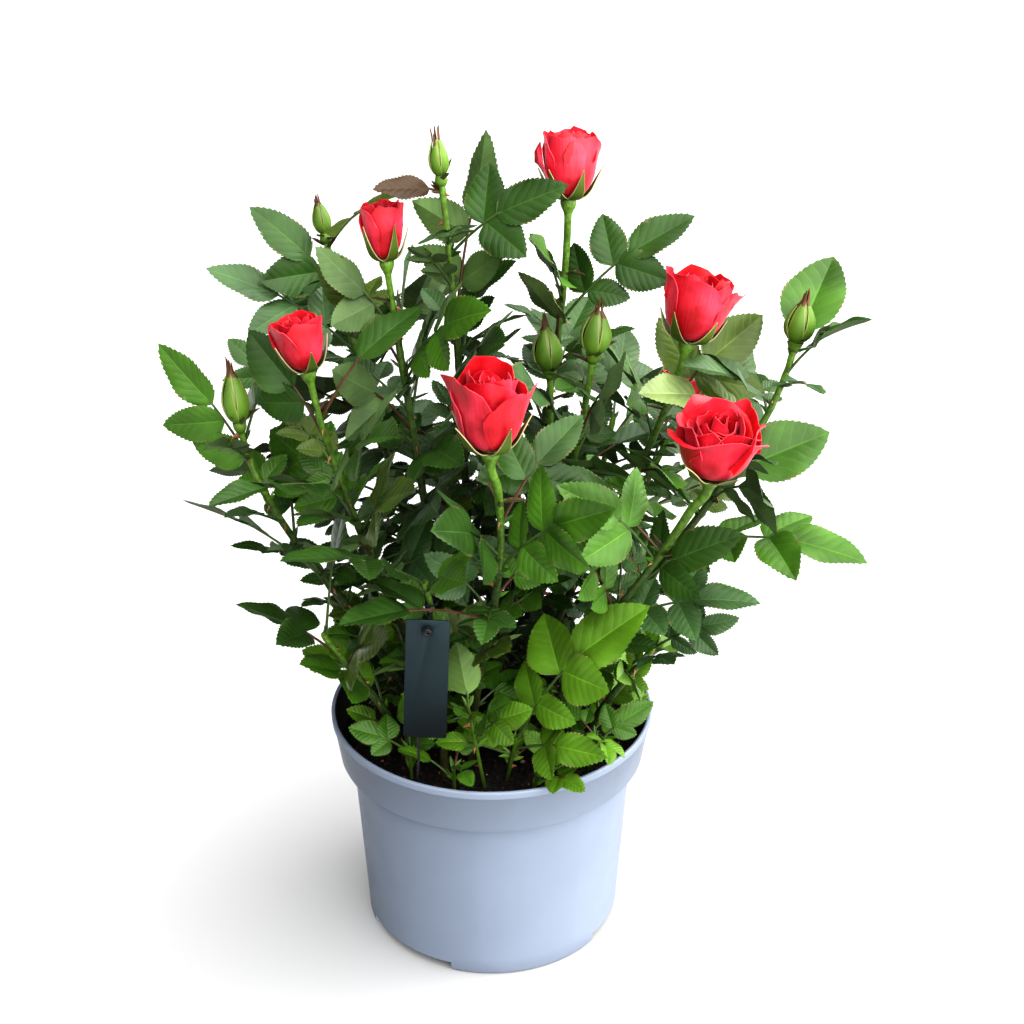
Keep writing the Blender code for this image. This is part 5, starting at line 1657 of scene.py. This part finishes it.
def curve_through(points, steps):
    """A smooth path through points, by Catmull and Rom's rule."""
    padded = [points[0] * 2.0 - points[1]] + list(points) + [points[-1] * 2.0 - points[-2]]
    path = []
    for a, b, c, d in zip(padded, padded[1:], padded[2:], padded[3:]):
        for k in range(steps):
            t = k / steps
            path.append(0.5 * (b * 2.0 + (c - a) * t + (a * 2.0 - b * 5.0 + c * 4.0 - d) * t * t
                               + (b * 3.0 - a - c * 3.0 + d) * t ** 3))
    path.append(points[-1])
    return path


def twisted(mould, path, radius, turn_length):
    """Two strands twisted round each other along a path."""
    lengths = [0.0]
    for a, b in zip(path, path[1:]):
        lengths.append(lengths[-1] + (b - a).length)
    for phase in (0.0, pi):
        strand = []
        for (centre, across, other), run in zip(frames_along(path), lengths):
            angle = phase + tau * run / turn_length
            strand.append(centre + (across * cos(angle) + other * sin(angle)) * (0.5 * radius))
        points, faces, places = round_tube(strand, [0.62 * radius] * len(strand), 6)
        mould.add(points, faces, 0, places)


def make_tag_cord():
    """The twisted cord: a knot before the hole, a strand to a ring round the cane, a bead, and a tail."""
    frame = tag_frame()
    hole = frame @ Vector((0.0, 0.0, -TAG_HOLE_DROP))
    front = frame @ Vector((0.0, -0.5 * TAG_THICKNESS - GAP - KNOT_RADIUS * 0.8, -TAG_HOLE_DROP))
    behind = frame @ Vector((0.0, 0.0018, -TAG_HOLE_DROP + 0.0012))
    carrier = next(cane for cane in CANES if cane.name == "front_left")
    hook = on_cane_at_height(carrier, HOOK_HEIGHT)
    ring_radius = RING_ROOM + GAP + CORD_RADIUS
    ring_front = hook + Vector((0.0, -ring_radius, 0.0))
    midway = behind.lerp(ring_front, 0.5) + Vector((0.0, 0.0006, 0.0))
    tail = [ring_front] + [Vector(point) for point in TAIL]
    turns = [tau * k / 32 - 0.5 * pi for k in range(33)]
    circle = [hook + Vector((*on_circle(1.0, turn), 0.0)) * ring_radius for turn in turns]
    mould = Mould()
    twisted(mould, curve_through([front, hole, behind, midway, ring_front], 8), CORD_RADIUS, CORD_TWIST)
    twisted(mould, curve_through(tail, 14), 1.25 * CORD_RADIUS, TAIL_TWIST)
    twisted(mould, circle, CORD_RADIUS, CORD_TWIST)
    # Knot: five turns of cord wound round a ball.
    wound = []
    reach = 0.72 * KNOT_RADIUS
    for k in range(73):
        polar = pi * (0.12 + 0.76 * (k / 72))
        x, z = on_circle(reach * sin(polar), tau * 5.0 * (k / 72))
        wound.append(front + Vector((x, reach * cos(polar), z)))
    points, faces, places = round_tube(wound, [0.34 * KNOT_RADIUS] * len(wound), 6)
    mould.add(points, faces, 0, places)
    core = 0.62 * KNOT_RADIUS
    bends = [pi * k / 8 for k in range(1, 8)]
    half_circle = [(core * sin(bend), -core * cos(bend)) for bend in bends]
    ball, ball_faces = turned([(0.0, -core), *half_circle, (0.0, core)], 12)
    mould.add([front + p for p in ball], ball_faces)
    mould.add([ring_front + p * 1.05 - UP * 0.0022 for p in ball], ball_faces)
    mould.piece("tag_cord_strands", [cord_finish("cord", colours().cord)], "cord", ["tag_cord"])


# Scattered with Geometry Nodes ----------------------------


def new_tree(name, inputs):
    """A node group for geometry with named inputs, and its input node."""
    tree = bpy.data.node_groups.new(name, "GeometryNodeTree")
    tree.interface.new_socket("Geometry", in_out="INPUT", socket_type="NodeSocketGeometry")
    tree.interface.new_socket("Geometry", in_out="OUTPUT", socket_type="NodeSocketGeometry")
    for label, value in inputs.items():
        kind = "NodeSocketInt" if isinstance(value, int) else "NodeSocketFloat"
        tree.interface.new_socket(label, in_out="INPUT", socket_type=kind)
    return tree, wire(tree, "NodeGroupInput")


def link(tree, value, socket):
    """Links an output, or a node's first output, to a socket."""
    tree.links.new(value.outputs[0] if isinstance(value, bpy.types.Node) else value, socket)


def wire(tree, kind, settings=None, **inputs):
    """Adds a node, with its settings, and sets or links its inputs by name or, after a _, by number."""
    made = tree.nodes.new(kind)
    for key, value in (settings or {}).items():
        setattr(made, key, value)
    for key, value in inputs.items():
        socket = made.inputs[int(key[1:])] if key[0] == "_" else made.inputs[key.replace("_", " ")]
        if isinstance(value, (bpy.types.Node, bpy.types.NodeSocket)):
            link(tree, value, socket)
        else:
            socket.default_value = value
    return made


def maths(tree, operation, *terms):
    """A node that does arithmetic on numbers and outputs."""
    inputs = {f"_{k}": term for k, term in enumerate(terms)}
    return wire(tree, "ShaderNodeMath", {"operation": operation}, **inputs)


def split(tree, vector):
    """The three outputs of a vector's parts."""
    return wire(tree, "ShaderNodeSeparateXYZ", Vector=vector).outputs


def random_vector(tree, least, most, seed):
    """A node that gives a random vector between two others."""
    return wire(tree, "FunctionNodeRandomValue", {"data_type": "FLOAT_VECTOR"},
                _0=least, _1=most, Seed=seed)


def spread(tree, mesh, apart, **inputs):
    """A node that strews points over a mesh, with a least distance between them."""
    return wire(tree, "GeometryNodeDistributePointsOnFaces", {"distribute_method": "POISSON"}, Mesh=mesh,
                Distance_Min=apart, **inputs)


def copied(tree, points, **inputs):
    """A node that realizes the copies of a thing on points."""
    copies = wire(tree, "GeometryNodeInstanceOnPoints", Points=points, **inputs)
    return wire(tree, "GeometryNodeRealizeInstances", Geometry=copies)


def scattered(name, carrier, tree, inputs):
    """The plain mesh of what a tree of Geometry Nodes scatters over a piece."""
    thing = in_scene(name, carrier.data.copy())
    change = thing.modifiers.new(name, "NODES")
    change.node_group = tree
    for item in tree.interface.items_tree:
        if item.in_out == "INPUT" and item.name in inputs:
            change[item.identifier] = inputs[item.name]
    apply_modifiers(thing)
    return thing


def crumb_tree(inputs):
    """Crumbs of peat in three shades over the top of the peat."""
    tree, start = new_tree("peat crumbs", inputs)
    level = split(tree, wire(tree, "GeometryNodeInputNormal"))["Z"]
    facing = wire(tree, "FunctionNodeCompare", {"data_type": "FLOAT", "operation": "GREATER_THAN"},
                  A=level, B=0.4)
    gathered = tree.nodes.new("GeometryNodeJoinGeometry")
    for label, colour, apart, seed in reversed(CRUMB_SHADES):
        spacing = maths(tree, "MULTIPLY", start.outputs["Spacing"], apart)
        points = spread(tree, start, spacing, Selection=facing, Density_Max=400000.0,
                        Seed=maths(tree, "ADD", start.outputs["Seed"], float(seed)))
        ball = wire(tree, "GeometryNodeMeshIcoSphere", Radius=start.outputs["Crumb"], Subdivisions=1)
        turn = random_vector(tree, (0.0, 0.0, 0.0), (6.28, 6.28, 6.28), seed + 1)
        size = random_vector(tree, (0.25, 0.25, 0.2), (0.95, 0.75, 0.6), seed + 2)
        crumbs = copied(tree, points, Instance=ball, Rotation=turn, Scale=size)
        finish = wire(tree, "GeometryNodeSetMaterial", Geometry=crumbs,
                      Material=peat_finish(label, colour, 0.6))
        link(tree, finish, gathered.inputs[0])
    wire(tree, "NodeGroupOutput", Geometry=wire(tree, "GeometryNodeSetShadeSmooth", Geometry=gathered))
    return tree


def thorn_tree(inputs):
    """Thorns that stand on the canes and hook downward."""
    tree, start = new_tree("thorns", inputs)
    length = start.outputs["Length"]
    points = spread(tree, start, start.outputs["Spacing"], Density_Max=90000.0, Seed=start.outputs["Seed"])
    cone = wire(tree, "GeometryNodeMeshCone", Vertices=7, Side_Segments=5, Radius_Top=0.00004,
                Radius_Bottom=maths(tree, "MULTIPLY", length, 0.26), Depth=length)
    place = split(tree, wire(tree, "GeometryNodeInputPosition"))
    slim = maths(tree, "POWER", maths(tree, "DIVIDE", place["Z"], length), 2.0)
    hook = maths(tree, "MULTIPLY", maths(tree, "MULTIPLY", slim, length), 0.55)
    along = maths(tree, "ADD", hook, maths(tree, "MULTIPLY", place["X"], 0.5))
    flat = maths(tree, "MULTIPLY", place["Y"], -0.45)
    bent = wire(tree, "GeometryNodeSetPosition", Geometry=cone,
                Offset=wire(tree, "ShaderNodeCombineXYZ", X=along, Y=flat))
    upright = wire(tree, "FunctionNodeAlignRotationToVector", {"axis": "Z"},
                   Vector=points.outputs["Normal"])
    hooked = wire(tree, "FunctionNodeAlignRotationToVector", {"axis": "X", "pivot_axis": "Z"},
                  Rotation=upright, Vector=(0.0, 0.0, -1.0))
    size = wire(tree, "FunctionNodeRandomValue", {"data_type": "FLOAT"}, _2=0.35, _3=1.0, Seed=5)
    thorns = copied(tree, points, Instance=bent, Rotation=hooked, Scale=size.outputs[1])
    thorns = wire(tree, "GeometryNodeSetShadeSmooth", Geometry=thorns)
    finish = wire(tree, "GeometryNodeSetMaterial", Geometry=thorns,
                  Material=bark_finish("thorn", colours().thorn, 1.0, 0.4))
    wire(tree, "NodeGroupOutput", Geometry=finish)
    return tree


# Finishes -------------------------------------------------


def principled(name, roughness):
    """A new material, its tree and its Principled shader."""
    made = bpy.data.materials.new(name)
    made.use_nodes = True
    shader = made.node_tree.nodes["Principled BSDF"]
    shader.inputs["Roughness"].default_value = roughness
    return made, made.node_tree, shader


def shaded(colour, factor):
    """A colour made lighter or darker."""
    return tuple(min(1.0, part * factor) for part in colour)


def by_object(tree):
    """The output that places a finish by where it is in the room."""
    return wire(tree, "ShaderNodeTexCoord").outputs["Object"]


def by_place(tree):
    """A node that places a finish by how far along and across its piece it is."""
    return wire(tree, "ShaderNodeUVMap", {"uv_map": "Place"})


def noise(tree, vector, scale, detail):
    """A node of soft noise."""
    return wire(tree, "ShaderNodeTexNoise", Vector=vector, Scale=scale, Detail=detail)


def streaks(tree, vector, scale, detail):
    """A node of noise drawn out by different scales along its axes."""
    return noise(tree, wire(tree, "ShaderNodeMapping", Vector=vector, Scale=scale), 1.0, detail)


def ranged(tree, value, low, high, first, last):
    """A node that maps low to high onto first to last."""
    return wire(tree, "ShaderNodeMapRange", Value=value, _1=low, _2=high, _3=first, _4=last)


def blended(tree, share, colour, other):
    """The output of two colours mixed."""
    return wire(tree, "ShaderNodeMix", {"data_type": "RGBA"}, _0=share, _6=colour, _7=other).outputs[2]


def dimmed(tree, colour, factor):
    """A node that scales a colour."""
    return wire(tree, "ShaderNodeVectorMath", {"operation": "SCALE"}, _0=colour, Scale=factor)


def colour_ramp(tree, value, stops):
    """A node that runs through the colours of its stops."""
    ramp = wire(tree, "ShaderNodeValToRGB", _0=value)
    elements = ramp.color_ramp.elements
    while len(elements) < len(stops):
        elements.new(1.0)
    for element, (position, colour) in zip(elements, stops):
        element.position = position
        element.color = (*colour, 1.0)
    return ramp


def mottled(tree, shader, colour, scale, low, high, detail=3.0):
    """Links a base colour between two shades in soft patches. Returns the patches and the colour."""
    patches = noise(tree, by_object(tree), scale, detail)
    ramp = colour_ramp(tree, patches, ((0.32, shaded(colour, low)), (0.68, shaded(colour, high))))
    link(tree, ramp, shader.inputs["Base Color"])
    return patches, ramp


def bump(tree, shader, height, strength, distance):
    """Links a height to the shader as a bump."""
    link(tree, wire(tree, "ShaderNodeBump", Height=height, Strength=strength, Distance=distance),
         shader.inputs["Normal"])


def leaf_material(name, colour, roughness, veins):
    """A leaf's skin: mottled, with side veins sunk between the blade's swells, and a brownish margin."""
    made, tree, shader = principled(name, roughness)
    _, ramp = mottled(tree, shader, colour, 46.0, 0.66, 1.32)
    height = maths(tree, "MULTIPLY", noise(tree, by_object(tree), 1400.0, 2.0), 0.25)
    if veins:
        place = split(tree, by_place(tree))
        away = maths(tree, "ABSOLUTE", maths(tree, "SUBTRACT", place["Y"], 0.5))
        run = maths(tree, "ADD", place["X"], maths(tree, "MULTIPLY", away, -0.62))
        count = maths(tree, "MULTIPLY", run, VEIN_PAIRS)
        count = maths(tree, "MULTIPLY_ADD", noise(tree, by_object(tree), 130.0, 2.0), 0.9, count)
        wave = maths(tree, "PINGPONG", count, 0.5)
        swell = maths(tree, "MULTIPLY", maths(tree, "POWER", wave, 0.5), veins)
        height = maths(tree, "ADD", swell, height)
        line = ranged(tree, wave, 0.0, 0.07, 0.26, 0.0)
        light = blended(tree, line, ramp, (*shaded(colour, 1.7), 1.0))
        margin = ranged(tree, away, 0.415, 0.445, 0.0, 0.45)
        link(tree, blended(tree, margin, light, LEAF_MARGIN), shader.inputs["Base Color"])
    bump(tree, shader, height, 0.30, 0.0006)
    shader.inputs["Specular IOR Level"].default_value = 0.32
    return made


def leaf_finishes(tint):
    """Top, rib, underside and its rib, for leaves of one tint."""
    colour = tuple(getattr(colours(), tint))
    under = tuple(0.50 * part + 0.50 * pale for part, pale in zip(colour, LEAF_UNDERSIDE))
    return [leaf_material(f"{tint} leaf", colour, 0.34, 1.0),
            leaf_material(f"{tint} rib", shaded(colour, 1.45), 0.45, 0.0),
            leaf_material(f"{tint} underside", under, 0.62, 0.5),
            leaf_material(f"{tint} under rib", shaded(under, 1.25), 0.6, 0.0)]


def petal_finish(name, colour, glow):
    """A petal's velvet: scarlet with a pinkish sheen, painted pinkish highlights in patches toward the rim,
    and fine lengthwise lines.
    """
    made, tree, shader = principled(name, 0.38)
    patches, ramp = mottled(tree, shader, colour, 90.0, 0.74, 1.20)
    # Painted highlight: a pinkish colour laid into the base colour in patches, more of it toward each
    # petal's rim.
    patches = ranged(tree, patches, 0.36, 0.66, 0.10, 1.0)
    rim = ranged(tree, split(tree, by_place(tree))["X"], 0.10, 1.0, 0.06, glow)
    painted_highlight = blended(tree, maths(tree, "MULTIPLY", rim, patches), ramp, PETAL_PAINTED_HIGHLIGHT)
    link(tree, painted_highlight, shader.inputs["Base Color"])
    bump(tree, shader, streaks(tree, by_place(tree), (26.0, 2.5, 1.0), 3.0), 0.45, 0.0005)
    shader.inputs["Specular IOR Level"].default_value = 0.42
    shader.inputs["Sheen Weight"].default_value = 0.28
    shader.inputs["Sheen Roughness"].default_value = 0.35
    shader.inputs["Sheen Tint"].default_value = (*colours().petal_glow, 1.0)
    return made


def cane_finish(name):
    """A cane's skin, which runs from brown bark at its foot through a darker green, painted shade low under
    the crown, to green and a bright flower stalk.
    """
    made, tree, shader = principled(name, 0.42)
    wander = maths(tree, "MULTIPLY_ADD", noise(tree, by_object(tree), 70.0, 3.0), 0.24, -0.12)
    share = maths(tree, "ADD", split(tree, by_place(tree))["X"], wander)
    skins = colours()
    # Darker toward the foot: brown bark there, then a darker green that is painted shade under the crown.
    ramp = colour_ramp(tree, share, (
        (0.05, skins.bark), (0.30, shaded(skins.cane, 0.8)), (0.62, skins.cane),
        (0.86, shaded(skins.stalk, 0.72)), (1.0, skins.stalk)))
    speckle = noise(tree, by_object(tree), 620.0, 3.0)
    dark = ranged(tree, speckle, 0.35, 0.62, 0.62, 1.12)
    link(tree, dimmed(tree, ramp, dark), shader.inputs["Base Color"])
    bump(tree, shader, speckle, 0.22, 0.0005)
    return made


def bark_finish(name, colour, contrast, roughness):
    """Green or red skin, streaked along its length."""
    made, tree, shader = principled(name, roughness)
    mottled(tree, shader, colour, 210.0, 0.75, 1.0 + 0.25 * contrast)
    bump(tree, shader, streaks(tree, by_place(tree), (9.0, 160.0, 1.0), 4.0), 0.5, 0.0005)
    return made


def plastic_finish(name, colour, roughness):
    """Moulded plastic with a faint haze and fine upright flow lines."""
    made, tree, shader = principled(name, roughness)
    mottled(tree, shader, colour, 18.0, 0.95, 1.05)
    bump(tree, shader, streaks(tree, by_object(tree), (260.0, 260.0, 12.0), 2.0), 0.12, 0.0003)
    haze = noise(tree, by_object(tree), 45.0, 4.0)
    link(tree, ranged(tree, haze, 0.3, 0.7, roughness - 0.05, roughness + 0.09), shader.inputs["Roughness"])
    return made


def peat_finish(name, colour, depth):
    """Damp peat: black brown and rough."""
    made, tree, shader = principled(name, 0.92)
    patches, _ = mottled(tree, shader, colour, 420.0, 0.5, 2.0, 6.0)
    bump(tree, shader, patches, 0.9 * depth, 0.0016)
    return made


def card_finish(name, colour):
    """Coated card: smooth, with a faint fibre, and lighter toward its top, a painted sheen."""
    made, tree, shader = principled(name, 0.34)
    _, ramp = mottled(tree, shader, colour, 60.0, 0.9, 1.12)
    # Painted sheen: the card's colour is raised toward its top for the sheen on its upper part.
    top = TAG_TOP[2]
    lift = ranged(tree, split(tree, by_object(tree))["Z"], top - TAG_HEIGHT, top, 0.35, 2.1)
    link(tree, dimmed(tree, ramp, lift), shader.inputs["Base Color"])
    shader.inputs["Specular IOR Level"].default_value = 0.16
    bump(tree, shader, noise(tree, by_object(tree), 2600.0, 3.0), 0.12, 0.0002)
    return made


def cord_finish(name, colour):
    """Waxed black cord."""
    made, tree, shader = principled(name, 0.42)
    mottled(tree, shader, colour, 300.0, 0.7, 1.6)
    bump(tree, shader, streaks(tree, by_place(tree), (12.0, 900.0, 1.0), 3.0), 0.5, 0.0002)
    return made


def floor_finish(name):
    """A pale, matt studio floor."""
    made, tree, shader = principled(name, 0.85)
    mottled(tree, shader, FLOOR_GREY, 3.0, 0.995, 1.005)
    return made


# Stage ----------------------------------------------------


def make_stage():
    """The pale floor, the soft light and the camera."""
    slab = prism([(-4, -4), (4, -4), (4, 8), (-4, 8)], -0.02, -0.0002)
    floor = object_from("floor", *slab, [floor_finish("floor")])
    floor.visible_diffuse = False
    world = bpy.data.worlds.new("studio")
    world.use_nodes = True
    tree = world.node_tree
    background = tree.nodes["Background"]
    background.inputs["Color"].default_value = (1.0, 1.0, 1.0, 1.0)
    facing = wire(tree, "ShaderNodeVectorMath", {"operation": "DOT_PRODUCT"},
                  _0=wire(tree, "ShaderNodeTexCoord").outputs["Generated"], _1=SKY_TOWARD)
    share = wire(tree, "ShaderNodeMapRange", {"interpolation_type": "SMOOTHSTEP"},
                 Value=facing.outputs["Value"], _1=-0.30, _2=0.95, _3=0.02, _4=3.6)
    link(tree, share, background.inputs["Strength"])
    scene = bpy.context.scene
    scene.world = world
    sun = bpy.data.lights.new("key_light", "SUN")
    sun.energy = 1.1
    sun.angle = radians(SUN_WIDTH)
    in_scene("key_light", sun).rotation_euler = Vector(SUN_TOWARD).to_track_quat("Z", "Y").to_euler()
    camera = bpy.data.cameras.new("camera")
    camera.lens = CAMERA_LENS
    camera.sensor_width = 36.0
    camera.clip_start = 0.01
    eye = in_scene("camera", camera)
    eye.location = CAMERA_PLACE
    eye.rotation_euler = (radians(90.0 - CAMERA_FALL), 0.0, 0.0)
    scene.camera = eye
    scene.view_settings.view_transform = "Standard"
    scene.view_settings.look = "High Contrast"


# Operators ------------------------------------------------


class ROSEBUSH_OT_pot(bpy.types.Operator):
    """Make the nursery pot"""

    bl_idname = "rose_bush.pot"
    bl_label = "Pot"

    def execute(self, context):
        make_pot()
        return {"FINISHED"}


class ROSEBUSH_OT_peat(bpy.types.Operator):
    """Make the peat and its crumbs"""

    bl_idname = "rose_bush.peat"
    bl_label = "Peat"

    def execute(self, context):
        make_peat()
        return {"FINISHED"}


class ROSEBUSH_OT_canes(bpy.types.Operator):
    """Make the canes, with their bark and thorns"""

    bl_idname = "rose_bush.canes"
    bl_label = "Canes and thorns"

    def execute(self, context):
        inputs = {"Length": sizes().thorn_length, "Spacing": sizes().thorn_spacing, "Seed": sizes().seed}
        hang(scattered("thorns", make_canes(), thorn_tree(inputs), inputs), [])
        return {"FINISHED"}


class ROSEBUSH_OT_leaves(bpy.types.Operator):
    """Make the leaves and their stalks"""

    bl_idname = "rose_bush.leaves"
    bl_label = "Leaves"

    def execute(self, context):
        make_leaf_stalks()
        make_leaves()
        return {"FINISHED"}


class ROSEBUSH_OT_roses(bpy.types.Operator):
    """Make the roses, with their stalks and sepals"""

    bl_idname = "rose_bush.roses"
    bl_label = "Roses"

    def execute(self, context):
        make_petals()
        make_rose_greens()
        return {"FINISHED"}


class ROSEBUSH_OT_buds(bpy.types.Operator):
    """Make the closed buds"""

    bl_idname = "rose_bush.buds"
    bl_label = "Buds"

    def execute(self, context):
        make_buds()
        return {"FINISHED"}


class ROSEBUSH_OT_tag(bpy.types.Operator):
    """Make the bare card and its cord"""

    bl_idname = "rose_bush.tag"
    bl_label = "Tag and cord"

    def execute(self, context):
        make_tag()
        make_tag_cord()
        return {"FINISHED"}


class ROSEBUSH_OT_stage(bpy.types.Operator):
    """Make the floor, the lights and the camera"""

    bl_idname = "rose_bush.stage"
    bl_label = "Stage"

    def execute(self, context):
        make_stage()
        return {"FINISHED"}


STEPS = (ROSEBUSH_OT_stage, ROSEBUSH_OT_pot, ROSEBUSH_OT_peat, ROSEBUSH_OT_canes, ROSEBUSH_OT_leaves,
         ROSEBUSH_OT_roses, ROSEBUSH_OT_buds, ROSEBUSH_OT_tag)


class ROSEBUSH_PT_panel(bpy.types.Panel):
    """The sidebar panel that lists the steps"""

    bl_idname = "ROSEBUSH_PT_panel"
    bl_label = "Rose bush"
    bl_space_type = "VIEW_3D"
    bl_region_type = "UI"
    bl_category = "Rose bush"

    def draw(self, context):
        for step in STEPS:
            self.layout.operator(step.bl_idname)


CLASSES = (RoseBushColours, RoseBushSizes, *STEPS, ROSEBUSH_PT_panel)


def register():
    """Registers the classes and hangs the properties on the scene."""
    for kind in CLASSES:
        bpy.utils.register_class(kind)
    bpy.types.Scene.rose_bush_colours = bpy.props.PointerProperty(type=RoseBushColours)
    bpy.types.Scene.rose_bush_sizes = bpy.props.PointerProperty(type=RoseBushSizes)


def unregister():
    """Takes the properties and the classes away again."""
    del bpy.types.Scene.rose_bush_sizes
    del bpy.types.Scene.rose_bush_colours
    for kind in reversed(CLASSES):
        bpy.utils.unregister_class(kind)


def main():
    """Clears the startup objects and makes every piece."""
    for name in ("Cube", "Light", "Camera"):
        if name in bpy.data.objects:
            bpy.data.objects.remove(bpy.data.objects[name])
    register()
    for step in STEPS:
        group, label = step.bl_idname.split(".")
        getattr(getattr(bpy.ops, group), label)()


if __name__ == "__main__":
    main()
